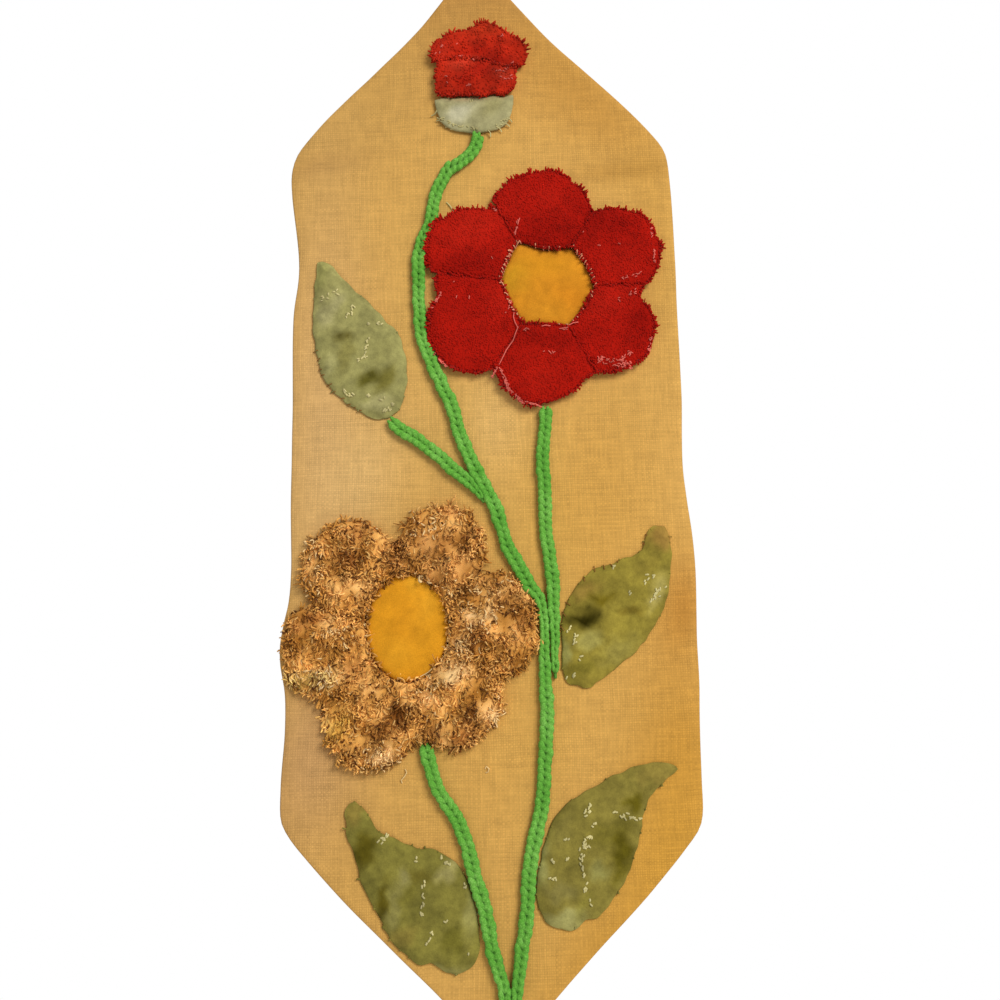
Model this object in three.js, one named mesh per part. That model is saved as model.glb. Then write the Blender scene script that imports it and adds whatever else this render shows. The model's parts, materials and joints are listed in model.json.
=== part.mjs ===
// Wall hanging: a long mustard cloth with pointed ends, and on it two six-petal
// flowers, a bud and four leaves of cut pile, joined by knitted cord stems.
import * as THREE from "three";
import { mergeVertices } from "three/addons/utils/BufferGeometryUtils.js";

// Millimetres. The front faces -Y and +Z is up. The origin is the top corner of the
// cloth, where the hanging is held, on the front of the cloth.

// ---- Driving sizes ----
const WEAVE = 1.4;          // thickness of the cloth
const HEM = 14;             // width of the edge turned to the back
const HEM_STEP = 1;         // over this width the cloth thickens to the hem
const POINT_HEM = 0.4;      // in the points, where the two hems meet, each one's share
const MERGE = 1e-5;         // corners nearer than this on a stock shape are one corner
const GAP = 0.4;            // between a sewn piece and what it lies against
const CORD = { wide: 8.6, deep: 5.2, sides: 10, step: 13 };
const CLOTH_CELLS = { down: 50, across: 12 };
const SPREAD = { petal: [10, 4], leaf: [5, 12], bud: [9, 3], heart: 24 };

// How far each kind of piece stands off the cloth: at its rim and at its crown.
const PILE = {
  red: { rim: 3.4, crown: 6.2 },
  brown: { rim: 5.4, crown: 9.4 },
  leaf: { rim: 2.2, crown: 4.4 },
  bud: { rim: 4.2, crown: 7 },
  calyx: { rim: 2.4, crown: 4.6 },
  heart: { rim: 1.8, crown: 2.8 },
};

// The cloth's two edges, row by row from the top corner down to the bottom one.
const OUTLINE = [
  { z: 0, left: -3, right: 3 },
  { z: -57, left: -45.5, right: 47.5 },
  { z: -111, left: -98, right: 100 },
  { z: -137, left: -120.5, right: 123 },
  { z: -150, left: -129.5, right: 131.5 },
  { z: -160, left: -132.5, right: 134 },
  { z: -178, left: -132, right: 135 },
  { z: -232, left: -126.5, right: 135.5 },
  { z: -270, left: -129.5, right: 135 },
  { z: -330, left: -129, right: 135 },
  { z: -378, left: -129, right: 133.5 },
  { z: -400, left: -129, right: 135 },
  { z: -423, left: -128.5, right: 137 },
  { z: -445, left: -128, right: 138 },
  { z: -466, left: -129.5, right: 137.5 },
  { z: -480, left: -132.5, right: 137 },
  { z: -494, left: -134.5, right: 136.5 },
  { z: -506, left: -134, right: 136.5 },
  { z: -525, left: -130.5, right: 136.5 },
  { z: -548, left: -130, right: 135.5 },
  { z: -583, left: -132, right: 135 },
  { z: -603, left: -131.5, right: 134.5 },
  { z: -612, left: -127, right: 132 },
  { z: -625, left: -116.5, right: 122 },
  { z: -651, left: -92.5, right: 98 },
  { z: -680, left: -62.5, right: 68.5 },
  { z: -710, left: -30.5, right: 38.5 },
  { z: -744, left: 1, right: 6 },
];

// Soft folds of the hanging cloth: the middle of each, its turn from level in degrees,
// half its length and half its width, and how deep it goes to the back (to the front if
// negative).
const FOLDS = [
  { x: -116, z: -158, turn: 10, reach: 26, half: 8, deep: 1.9 },
  { x: 108, z: -168, turn: 5, reach: 34, half: 9, deep: 1.8 },
  { x: 4, z: -60, turn: 90, reach: 60, half: 46, deep: -2.4 },
  { x: 20, z: -400, turn: 96, reach: 260, half: 90, deep: -3.2 },
  { x: -136, z: -232, turn: 84, reach: 34, half: 26, deep: 2.6 },
  { x: 140, z: -396, turn: 92, reach: 36, half: 30, deep: 2.4 },
  { x: -140, z: -560, turn: 90, reach: 48, half: 34, deep: -2.2 },
  { x: 132, z: -590, turn: 60, reach: 50, half: 34, deep: 1.8 },
  { x: 6, z: -745, turn: 0, reach: 50, half: 34, deep: -2.6 },
];

// Petals, anticlockwise. turn: where the petal points; out and round: how far out its
// round end is centred, and that end's radius; seam: the seam on its clockwise side;
// valley: how far out along that seam the two petals part; corner: how far along it the
// flower's yellow heart reaches; sag: how far the heart's side draws in past that corner.
const RED_FLOWER = {
  x: 45,
  z: -252.5,
  petals: [
    { turn: 92, out: 49, round: 36, seam: 57.5, valley: 65, corner: 33.5, sag: 4 },
    { turn: 152.5, out: 57.5, round: 31, seam: 120, valley: 65, corner: 37.5, sag: -1 },
    { turn: 211, out: 56.5, round: 32.5, seam: 171.5, valley: 76, corner: 31.5, sag: -1 },
    { turn: 264, out: 50.5, round: 33, seam: 238, valley: 64.5, corner: 32, sag: 1 },
    { turn: 323, out: 52, round: 31.5, seam: 297, valley: 70, corner: 32.5, sag: -1.5 },
    { turn: 387.5, out: 55, round: 31, seam: 359.5, valley: 65, corner: 33.5, sag: -2 },
  ],
};
const BROWN_FLOWER = {
  x: -51,
  z: -483.5,
  petals: [
    { turn: 66.5, out: 54.5, round: 28.5, seam: 34.5, valley: 61 },
    { turn: 133.5, out: 52.5, round: 31.5, seam: 97, valley: 52 },
    { turn: 195, out: 48, round: 34.5, seam: 168, valley: 62.5 },
    { turn: 247.5, out: 63.5, round: 29.5, seam: 221.5, valley: 69.5 },
    { turn: 303, out: 54.5, round: 30, seam: 278, valley: 72.5 },
    { turn: 360, out: 48, round: 36, seam: 333, valley: 67.5 },
  ],
};
const PARTING = 40;         // the higher, the sharper the notch where two petals part
const OVAL = { half: 27, tall: 34.5 };

// Leaves, from the base to the tip: the middle of each section and half its width.
const LEAVES = [
  [
    { x: -66, z: -343, half: 7 },
    { x: -70, z: -327, half: 20 },
    { x: -80, z: -304, half: 29 },
    { x: -91, z: -281, half: 24.5 },
    { x: -101, z: -257.5, half: 15 },
    { x: -110.5, z: -229, half: 3 },
  ],
  [
    { x: 57.5, z: -522, half: 9 },
    { x: 61.5, z: -512, half: 14.5 },
    { x: 71, z: -492, half: 25 },
    { x: 83.5, z: -474, half: 28 },
    { x: 99, z: -459.5, half: 22 },
    { x: 110, z: -443.5, half: 12.5 },
    { x: 114.5, z: -420.5, half: 6.5 },
  ],
  [
    { x: -25.5, z: -694, half: 7.5 },
    { x: -25, z: -684, half: 18 },
    { x: -31, z: -671.5, half: 25 },
    { x: -38, z: -659, half: 29 },
    { x: -46.5, z: -647, half: 29 },
    { x: -58, z: -638, half: 23 },
    { x: -67.5, z: -628, half: 17.5 },
    { x: -76, z: -617.5, half: 10.5 },
    { x: -82, z: -606, half: 8.5 },
    { x: -87, z: -592, half: 4.5 },
  ],
  [
    { x: 45.5, z: -670, half: 7 },
    { x: 46.5, z: -658.5, half: 19 },
    { x: 54, z: -640, half: 26 },
    { x: 63.5, z: -619.5, half: 27.5 },
    { x: 77, z: -602, half: 21.5 },
    { x: 90, z: -587.5, half: 12.5 },
    { x: 104, z: -579.5, half: 8 },
    { x: 118, z: -574, half: 2.5 },
  ],
];

// The bud's three tiers, from left to right: the top and bottom of each section.
const BUD = {
  bud_upper: [
    { x: -31.5, top: -70, bottom: -80.5 },
    { x: -24, top: -63.5, bottom: -79.5 },
    { x: -13, top: -59.5, bottom: -79 },
    { x: -3, top: -57.5, bottom: -79.5 },
    { x: 6, top: -54, bottom: -81.5 },
    { x: 14, top: -56.5, bottom: -84.5 },
    { x: 24, top: -64, bottom: -86.5 },
    { x: 32, top: -68, bottom: -84.5 },
    { x: 35.5, top: -73, bottom: -79.5 },
  ],
  bud_lower: [
    { x: -28.5, top: -83, bottom: -105.5 },
    { x: -24, top: -81.5, bottom: -108 },
    { x: -13, top: -81, bottom: -108.5 },
    { x: -3, top: -81.5, bottom: -108.5 },
    { x: 6, top: -83.5, bottom: -108.5 },
    { x: 14, top: -86.5, bottom: -107.5 },
    { x: 22, top: -88.5, bottom: -107 },
    { x: 27, top: -88, bottom: -103 },
  ],
  bud_calyx: [
    { x: -29.5, top: -111, bottom: -119 },
    { x: -25, top: -110.5, bottom: -128 },
    { x: -16, top: -110.5, bottom: -134 },
    { x: -5, top: -110.5, bottom: -136.5 },
    { x: 5, top: -110.5, bottom: -136 },
    { x: 15, top: -110, bottom: -133.5 },
    { x: 21.5, top: -109.5, bottom: -129 },
    { x: 25, top: -109.5, bottom: -118 },
  ],
};

// The stems' routes down the cloth. wide is given where a stem is pressed by its neighbour.
const STEMS = {
  stem_bud: [
    { x: -1, z: -138.5 },
    { x: -1.5, z: -145 },
    { x: -6, z: -153 },
    { x: -13, z: -159.5 },
    { x: -21, z: -165.5 },
    { x: -25, z: -172 },
    { x: -30, z: -183.5 },
    { x: -32.5, z: -194 },
    { x: -34, z: -202 },
    { x: -36.6, z: -209, wide: 7.6 },
    { x: -40.2, z: -217, wide: 7.2 },
    { x: -41.6, z: -225, wide: 7.6 },
    { x: -42.5, z: -235 },
    { x: -42.5, z: -258 },
    { x: -41.8, z: -270, wide: 8.2 },
    { x: -41.2, z: -282, wide: 8 },
    { x: -37.9, z: -296, wide: 8 },
    { x: -32, z: -310.5 },
    { x: -26, z: -324.5 },
    { x: -20, z: -338.5 },
    { x: -16.5, z: -352.5 },
    { x: -11.5, z: -366.5 },
    { x: -5.5, z: -380 },
    { x: 1.5, z: -394 },
    { x: 7.5, z: -407.5 },
    { x: 11.5, z: -421 },
    { x: 15.5, z: -434 },
    { x: 23, z: -447.5 },
    { x: 30.4, z: -461 },
    { x: 34.6, z: -467, wide: 7.4 },
    { x: 37, z: -484, wide: 6 },
    { x: 37, z: -503, wide: 6.4 },
    { x: 37, z: -519, wide: 8 },
    { x: 37.5, z: -536 },
    { x: 36, z: -562 },
    { x: 32.5, z: -596 },
    { x: 28, z: -616 },
    { x: 24, z: -636 },
    { x: 21.5, z: -662 },
    { x: 17.5, z: -686, wide: 8 },
    { x: 15, z: -704, wide: 7 },
    { x: 13.5, z: -722, wide: 6.4 },
  ],
  stem_red: [
    { x: 42, z: -340 },
    { x: 41.5, z: -352 },
    { x: 39.2, z: -374 },
    { x: 40, z: -396 },
    { x: 39.8, z: -420 },
    { x: 42, z: -440 },
    { x: 43.6, z: -456 },
    { x: 43.6, z: -470, wide: 8 },
    { x: 44, z: -487, wide: 6.6 },
    { x: 43.6, z: -503, wide: 5.4 },
    { x: 43.6, z: -518, wide: 4.2 },
  ],
  stem_leaf: [
    { x: -61.5, z: -346 },
    { x: -54, z: -352.5 },
    { x: -40.5, z: -362 },
    { x: -28, z: -372.5 },
    { x: -20.5, z: -380 },
    { x: -14.5, z: -386, wide: 7.6 },
    { x: -9.5, z: -391.5, wide: 6.5 },
    { x: -4.2, z: -398, wide: 4 },
  ],
  stem_brown: [
    { x: -40, z: -558.5 },
    { x: -36.8, z: -571 },
    { x: -31.5, z: -586 },
    { x: -20.5, z: -603.5 },
    { x: -14, z: -620 },
    { x: -9, z: -640 },
    { x: -3.5, z: -659 },
    { x: -0.5, z: -676 },
    { x: 3.5, z: -692, wide: 8 },
    { x: 6.8, z: -704, wide: 7.4 },
    { x: 6.6, z: -720, wide: 6.6 },
  ],
};

const COLOURS = {
  cloth: ["#d7a657", 0.92],
  red: ["#a3180f", 0.95],
  brown: ["#a5763c", 0.95],
  yellow: ["#d78f1e", 0.9],
  sage: ["#9c9862", 0.95],
  olive: ["#8b7f35", 0.95],
  pale: ["#a8a271", 0.95],
  green: ["#55b04a", 0.85],
};

// ---- Shared geometry ----
const { cos, sin, PI, abs, sqrt } = Math;
const mix = THREE.MathUtils.lerp;
const radians = THREE.MathUtils.degToRad;
const dome = (a) => 1 - abs(2 * a - 1) ** 3;

// A smooth curve through a table's rows, as a vector of the three named columns.
function curve(rows, ...columns) {
  const points = rows.map((row) => new THREE.Vector3(...columns.map((name) => row[name] ?? 0)));
  return new THREE.CatmullRomCurve3(points, false, "centripetal");
}

// Y of the cloth's front at a place on the hanging.
function drape(x, z) {
  let y = 0;
  for (const fold of FOLDS) {
    const turn = radians(fold.turn);
    const along = ((x - fold.x) * cos(turn) + (z - fold.z) * sin(turn)) / fold.reach;
    const across = ((z - fold.z) * cos(turn) - (x - fold.x) * sin(turn)) / fold.half;
    y += fold.deep * Math.exp(-along * along - across * across);
  }
  return y;
}

// Moves every vertex of a stock geometry to place(vertex), as one body facing outwards.
function shape(stock, place) {
  stock.deleteAttribute("normal");
  stock.deleteAttribute("uv");
  const body = mergeVertices(stock, MERGE);
  const corners = [...body.index.array];
  const faces = [];
  for (let i = 0; i < corners.length; i += 3) {
    const [a, b, c] = corners.slice(i, i + 3);
    if (a !== b && b !== c && c !== a) faces.push([a, b, c]);
  }
  const position = body.attributes.position;
  const vertices = [];
  for (let i = 0; i < position.count; i += 1) {
    const vertex = place(new THREE.Vector3().fromBufferAttribute(position, i));
    position.setXYZ(i, vertex.x, vertex.y, vertex.z);
    vertices.push(vertex);
  }
  const spin = new THREE.Vector3();
  const volume = faces.reduce((sum, [a, b, c]) =>
    sum + vertices[a].dot(spin.crossVectors(vertices[b], vertices[c])), 0);
  body.setIndex(faces.flatMap(([a, b, c]) => (volume > 0 ? [a, b, c] : [a, c, b])));
  body.computeVertexNormals();
  return body;
}

// A piece sewn on the cloth: spot(s, t) is its outline filled in, as { x, z }, and it
// stands off the cloth by its pile, lower at the rim.
function sewn([across, along], pile, spot) {
  return shape(new THREE.BoxGeometry(1, 1, 1, across, 1, along), (vertex) => {
    const s = vertex.x + 0.5;
    const t = vertex.z + 0.5;
    const { x, z } = spot(s, t);
    const height = vertex.y < 0 ? mix(pile.rim, pile.crown, dome(s) * dome(t)) : 0;
    return new THREE.Vector3(x, drape(x, z) - GAP - height, z);
  });
}

// ---- The cloth ----
// The outline's rows, and in each the line where the hem ends on the left and the right.
function clothRows() {
  const edges = curve(OUTLINE, "left", "right", "z").getPoints(CLOTH_CELLS.down);
  return edges.map(({ x: left, y: right, z }) => {
    const middle = (left + right) / 2;
    let hemLeft = left;
    let hemRight = right;
    for (const near of edges) {
      const rise = near.z - z;
      if (abs(rise) >= HEM) continue;
      const run = sqrt(HEM * HEM - rise * rise);
      hemLeft = Math.max(hemLeft, near.x + run);
      hemRight = Math.min(hemRight, near.y - run);
    }
    const open = hemRight - hemLeft > 4 * HEM_STEP;
    return {
      z, left, right, open,
      hemLeft: open ? hemLeft : mix(left, middle, 1 - POINT_HEM),
      hemRight: open ? hemRight : mix(right, middle, 1 - POINT_HEM),
    };
  });
}

function groundCloth() {
  const rows = clothRows();
  const columns = CLOTH_CELLS.across + 4;
  const box = new THREE.BoxGeometry(1, 1, 1, columns, 1, CLOTH_CELLS.down);
  return shape(box, (vertex) => {
    const row = rows[Math.round((0.5 - vertex.z) * CLOTH_CELLS.down)];
    const column = Math.round((vertex.x + 0.5) * columns);
    const step = Math.min(HEM_STEP, (row.hemRight - row.hemLeft) / 4);
    const places = [row.left, row.hemLeft];
    for (let i = 0; i <= CLOTH_CELLS.across; i += 1) {
      places.push(mix(row.hemLeft + step, row.hemRight - step, i / CLOTH_CELLS.across));
    }
    places.push(row.hemRight, row.right);
    const x = places[column];
    const inField = row.open && column > 1 && column < columns - 1;
    const thick = inField ? WEAVE : 2 * WEAVE;
    return new THREE.Vector3(x, drape(x, row.z) + (vertex.y > 0 ? thick : 0), row.z);
  });
}

// ---- Flowers ----
const petalAfter = (petals, i) => ({
  ...petals[(i + 1) % petals.length],
  lap: i + 1 < petals.length ? 0 : 360,
});

// The heart's border from the flower's middle, between a seam and the next one.
function cornered(petals, i, s) {
  const next = petalAfter(petals, i);
  const from = radians(petals[i].seam);
  const to = radians(next.seam + next.lap);
  const angle = mix(from, to, s);
  const straight = petals[i].corner * next.corner * sin(to - from)
    / (petals[i].corner * sin(angle - from) + next.corner * sin(to - angle));
  return { angle, reach: straight - petals[i].sag * 4 * s * (1 - s) };
}

function oval(petals, i, s) {
  const next = petalAfter(petals, i);
  const angle = radians(mix(petals[i].seam, next.seam + next.lap, s));
  const reach = OVAL.half * OVAL.tall / Math.hypot(OVAL.tall * cos(angle), OVAL.half * sin(angle));
  return { angle, reach };
}

// A petal runs from the heart out to its round end, between two seams, and no nearer the
// flower's middle than the line from one notch to the next.
function petal(flower, border, i, pile) {
  const { turn, out, round, valley } = flower.petals[i];
  const next = petalAfter(flower.petals, i);
  return sewn(SPREAD.petal, pile, (s, t) => {
    const { angle, reach } = border(flower.petals, i, s);
    const off = angle - radians(turn);
    const bow = out * cos(off) + sqrt(Math.max(0, round * round - (out * sin(off)) ** 2));
    const notch = mix(valley, next.valley, s);
    const end = (bow ** PARTING + notch ** PARTING) ** (1 / PARTING);
    const distance = mix(reach + 2 * GAP, end, t);
    const bearing = angle + (1 - 2 * s) * Math.asin(GAP / distance);
    return { x: flower.x + distance * cos(bearing), z: flower.z + distance * sin(bearing) };
  });
}

function heart(flower, border) {
  const { rim, crown } = PILE.heart;
  const profile = [[0, 0], [0.5, 0], [1, 0], [1, 1], [0.5, 1], [0, 1]];
  const stock = new THREE.LatheGeometry(profile.map(([x, y]) => new THREE.Vector2(x, y)), SPREAD.heart);
  const perPetal = SPREAD.heart / flower.petals.length;
  return shape(stock, (vertex) => {
    const turn = Math.atan2(vertex.x, vertex.z) / (2 * PI) + 1;
    const share = Math.round(turn * SPREAD.heart) % SPREAD.heart;
    const seam = Math.floor(share / perPetal);
    const { angle, reach } = border(flower.petals, seam, (share % perPetal) / perPetal);
    const ring = Math.hypot(vertex.x, vertex.z);
    const x = flower.x + ring * reach * cos(angle);
    const z = flower.z + ring * reach * sin(angle);
    const height = vertex.y > 0.5 ? mix(crown, rim, ring * ring) : 0;
    return new THREE.Vector3(x, drape(x, z) - GAP - height, z);
  });
}

// ---- Leaves, bud and stems ----
function leaf(rows) {
  const spine = curve(rows, "x", "half", "z");
  return sewn(SPREAD.leaf, PILE.leaf, (s, t) => {
    const { x, y: half, z } = spine.getPoint(t);
    const ahead = spine.getTangent(t);
    const side = (2 * s - 1) * half / Math.hypot(ahead.x, ahead.z);
    return { x: x + side * ahead.z, z: z - side * ahead.x };
  });
}

function budTier(rows, pile) {
  const sections = curve(rows, "x", "top", "bottom");
  return sewn(SPREAD.bud, pile, (s, t) => {
    const { x, y: top, z: bottom } = sections.getPoint(s);
    return { x, z: mix(bottom, top, t) };
  });
}

// A stem is a flattened round cord, sewn down all along its route.
function stem(rows) {
  const route = curve(rows.map((row) => ({ wide: CORD.wide, ...row })), "x", "wide", "z");
  const steps = Math.round(route.getLength() / CORD.step);
  const stock = new THREE.CylinderGeometry(1, 1, 1, CORD.sides, steps);
  return shape(stock, (vertex) => {
    const place = route.getPointAt(vertex.y + 0.5);
    const ahead = route.getTangentAt(vertex.y + 0.5);
    const side = vertex.x * place.y / 2 / Math.hypot(ahead.x, ahead.z);
    const x = place.x + side * ahead.z;
    const z = place.z - side * ahead.x;
    return new THREE.Vector3(x, drape(x, z) - GAP - CORD.deep / 2 * (1 - vertex.z), z);
  });
}

// ---- The hanging ----
const hanging = new THREE.Group();

function add(name, geometry, [color, roughness]) {
  const mesh = new THREE.Mesh(geometry, new THREE.MeshStandardMaterial({ color, roughness, metalness: 0 }));
  mesh.name = name;
  hanging.add(mesh);
}

add("ground_cloth", groundCloth(), COLOURS.cloth);
RED_FLOWER.petals.forEach((_, i) =>
  add(`red_petal_${i + 1}`, petal(RED_FLOWER, cornered, i, PILE.red), COLOURS.red));
add("red_flower_heart", heart(RED_FLOWER, cornered), COLOURS.yellow);
BROWN_FLOWER.petals.forEach((_, i) =>
  add(`brown_petal_${i + 1}`, petal(BROWN_FLOWER, oval, i, PILE.brown), COLOURS.brown));
add("brown_flower_heart", heart(BROWN_FLOWER, oval), COLOURS.yellow);
add("bud_upper", budTier(BUD.bud_upper, PILE.bud), COLOURS.red);
add("bud_lower", budTier(BUD.bud_lower, PILE.bud), COLOURS.red);
add("bud_calyx", budTier(BUD.bud_calyx, PILE.calyx), COLOURS.pale);
LEAVES.forEach((rows, i) =>
  add(`leaf_${i + 1}`, leaf(rows), i === 0 ? COLOURS.sage : COLOURS.olive));
Object.entries(STEMS).forEach(([name, rows]) => add(name, stem(rows), COLOURS.green));

export default hanging;
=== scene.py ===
"""Looks of a pointed wall hanging: mustard cloth, with two flowers, a bud and four leaves
cut from pile cloth and joined by stems of knitted cord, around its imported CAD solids."""

import json
import math
import random

import bmesh
import bpy
import numpy as np
from mathutils import Matrix, Quaternion, Vector, noise

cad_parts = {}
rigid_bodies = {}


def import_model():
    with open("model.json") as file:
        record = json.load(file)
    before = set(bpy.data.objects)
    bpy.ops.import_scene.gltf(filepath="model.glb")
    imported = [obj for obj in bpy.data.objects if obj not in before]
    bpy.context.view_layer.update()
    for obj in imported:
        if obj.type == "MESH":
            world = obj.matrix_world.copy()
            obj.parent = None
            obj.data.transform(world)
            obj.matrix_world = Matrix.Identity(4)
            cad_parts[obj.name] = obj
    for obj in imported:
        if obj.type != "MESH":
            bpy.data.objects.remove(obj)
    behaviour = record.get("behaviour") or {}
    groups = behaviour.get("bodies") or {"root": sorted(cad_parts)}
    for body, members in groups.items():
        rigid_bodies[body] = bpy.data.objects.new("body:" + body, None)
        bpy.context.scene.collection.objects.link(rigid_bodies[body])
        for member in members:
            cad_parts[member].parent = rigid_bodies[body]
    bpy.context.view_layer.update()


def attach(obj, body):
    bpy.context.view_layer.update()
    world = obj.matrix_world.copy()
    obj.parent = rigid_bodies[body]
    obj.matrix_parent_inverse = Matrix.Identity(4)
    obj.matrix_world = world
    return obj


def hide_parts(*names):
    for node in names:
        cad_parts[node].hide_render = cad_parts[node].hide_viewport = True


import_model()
scene = bpy.context.scene
scene.view_settings.view_transform = "Standard"
MM = 0.001

# ---- The room ----
# The hanging hangs free over a plain pale floor, seen from a little below. A large soft
# lamp up to the right leaves a thin shadow along the left of all that stands off the
# cloth, and a weaker one lights the back.
CAMERA_AT = Vector((10.4, -654.6, -517.9)) * MM
CAMERA_TILT = math.radians(10.19)
CAMERA_ROLL = math.radians(1.15)
HANGING_MIDDLE = Vector((2, 0, -380)) * MM
FLOOR_Z = -1.15
FLOOR_HALF = 1.15
LAMP_WAY = Vector((0.66, -1.0, 0.55)).normalized()
LAMP_FAR = 2.4
LAMP_SIZE = 1.1
LAMP_WATTS = 46
BACK_WAY = Vector((-0.6, 1.0, 0.7)).normalized()
BACK_WATTS = 24
ROOM_LIGHT = 0.42


def linear(code):
    """An sRGB hex value as a linear colour."""
    parts = [int(code[i : i + 2], 16) / 255 for i in (1, 3, 5)]
    return (*(p / 12.92 if p <= 0.04045 else ((p + 0.055) / 1.055) ** 2.4 for p in parts), 1)


def node(tree, kind, inputs=(), stops=(), **settings):
    """Adds a node with its settings, its inputs' values or links, and a ramp's stops."""
    added = tree.nodes.new(kind)
    for name, value in settings.items():
        setattr(added, name, value)
    for key, value in dict(inputs).items():
        if isinstance(value, bpy.types.NodeSocket):
            tree.links.new(value, added.inputs[key])
        else:
            added.inputs[key].default_value = value
    if stops:
        ramp = added.color_ramp.elements
        ramp.remove(ramp[1])
        for i, (place, code) in enumerate(stops):
            stop = ramp.new(place) if i else ramp[0]
            stop.position = place
            stop.color = linear(code)
    return added


def maths(tree, operation, *values):
    """The result of a maths node on values or links."""
    return node(tree, "ShaderNodeMath", dict(enumerate(values)), operation=operation).outputs[0]


def finish(name, sockets):
    """A new material with its node tree and its shader, whose own sockets take these values."""
    material = bpy.data.materials.new(name)
    material.use_nodes = True
    shader = material.node_tree.nodes["Principled BSDF"]
    for key, value in sockets.items():
        shader.inputs[key].default_value = value
    return material, material.node_tree, shader


ahead = Vector((0, math.cos(CAMERA_TILT), math.sin(CAMERA_TILT)))
upwards = Vector((0, -math.sin(CAMERA_TILT), math.cos(CAMERA_TILT)))
sideways = Vector((1, 0, 0))
turned = Matrix.Rotation(CAMERA_ROLL, 3, ahead)
axes = Matrix((turned @ sideways, turned @ upwards, -ahead)).transposed()
camera = bpy.data.objects.new("camera", bpy.data.cameras.new("camera"))
camera.data.lens = 36
camera.data.sensor_width = 36
camera.data.clip_start = 0.01
camera.matrix_world = Matrix.Translation(CAMERA_AT) @ axes.to_4x4()
scene.collection.objects.link(camera)
scene.camera = camera

for name, way, watts in (("lamp", LAMP_WAY, LAMP_WATTS), ("back_lamp", BACK_WAY, BACK_WATTS)):
    lamp = bpy.data.objects.new(name, bpy.data.lights.new(name, "AREA"))
    lamp.data.size = LAMP_SIZE
    lamp.data.energy = watts
    lamp.matrix_world = (
        Matrix.Translation(HANGING_MIDDLE + way * LAMP_FAR)
        @ way.to_track_quat("Z", "Y").to_matrix().to_4x4()
    )
    scene.collection.objects.link(lamp)

# The room is white where it is seen, straight or in a reflection, and soft grey as light.
scene.world = bpy.data.worlds.new("room")
scene.world.use_nodes = True
room = scene.world.node_tree
room.nodes.clear()
path = node(room, "ShaderNodeLightPath").outputs
seen = maths(room, "MAXIMUM", path["Is Camera Ray"], path["Is Glossy Ray"])
seen = maths(room, "MAXIMUM", seen, path["Is Transmission Ray"])
light = node(room, "ShaderNodeBackground", {"Color": linear("#ffffff"), "Strength": ROOM_LIGHT})
white = node(room, "ShaderNodeBackground", {"Color": linear("#ffffff"), "Strength": 1})
both = node(room, "ShaderNodeMixShader", {0: seen, 1: light.outputs[0], 2: white.outputs[0]})
node(room, "ShaderNodeOutputWorld", {0: both.outputs[0]})

bm = bmesh.new()
bmesh.ops.create_grid(bm, x_segments=2, y_segments=2, size=FLOOR_HALF)
bmesh.ops.translate(bm, verts=bm.verts[:], vec=(0, 0, FLOOR_Z))
floor_mesh = bpy.data.meshes.new("floor")
bm.to_mesh(floor_mesh)
bm.free()
floor = bpy.data.objects.new("floor", floor_mesh)
scene.collection.objects.link(floor)
floor_paint, _, _ = finish("matt white floor", {"Base Color": linear("#f2f1ee"), "Roughness": 0.9})
floor_mesh.materials.append(floor_paint)

# ---- The ground cloth ----
# One length of coarse plain-woven cotton, dyed mustard. Its edges are turned once to the
# back, 14 mm wide, and it hangs in shallow folds with old creases at its shoulders.
WEAVE = 1.35  # how thick the cloth is, and the rest of this section's sizes, in mm
FOLD_ROUND = 0.75  # from the fold's middle to the middle of the cloth that turns round it
FOLD_LONG = 2.3  # how much cloth lies round the fold
HEM = 14
THREAD_GAP = 1.5
FINE = 1500  # how many points a fine curve through a table's rows has
ROWS = 160
FIELD_COLUMNS = 46
FOLD_STEPS = 4
HEM_COLUMNS = 5
EDGES = [
    # z, left, right
    (0, -3, 3), (-57, -45.5, 47.5), (-111, -98, 100), (-137, -120.5, 123), (-150, -129.5, 131.5),
    (-160, -132.5, 134), (-178, -132, 135), (-232, -126.5, 135.5), (-270, -129.5, 135),
    (-330, -129, 135), (-378, -129, 133.5), (-400, -129, 135), (-423, -128.5, 137), (-445, -128, 138),
    (-466, -129.5, 137.5), (-480, -132.5, 137), (-494, -134.5, 136.5), (-506, -134, 136.5),
    (-525, -130.5, 136.5), (-548, -130, 135.5), (-583, -132, 135), (-603, -131.5, 134.5),
    (-612, -127, 132), (-625, -116.5, 122), (-651, -92.5, 98), (-680, -62.5, 68.5), (-710, -30.5, 38.5),
    (-744, 1, 6),
]
# A soft patch on the hanging is its middle x and z, its turn in degrees, half its length
# and half its width. A fold is a patch and how deep it goes to the back.
FOLDS = [
    (-116, -158, 10, 26, 8, 1.9), (108, -168, 5, 34, 9, 1.8), (4, -60, 90, 60, 46, -2.4),
    (20, -400, 96, 260, 90, -3.2), (-136, -232, 84, 34, 26, 2.6), (140, -396, 92, 36, 30, 2.4),
    (-140, -560, 90, 48, 34, -2.2), (132, -590, 60, 50, 34, 1.8), (6, -745, 0, 50, 34, -2.6),
]
RIPPLES = [
    # wavelength, heading in degrees, start in degrees, how deep
    (61, 20, 40, 0.22), (43, 104, 10, 0.18), (27, 63, 200, 0.1),
]
MUSTARD = "#d2a153"
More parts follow.
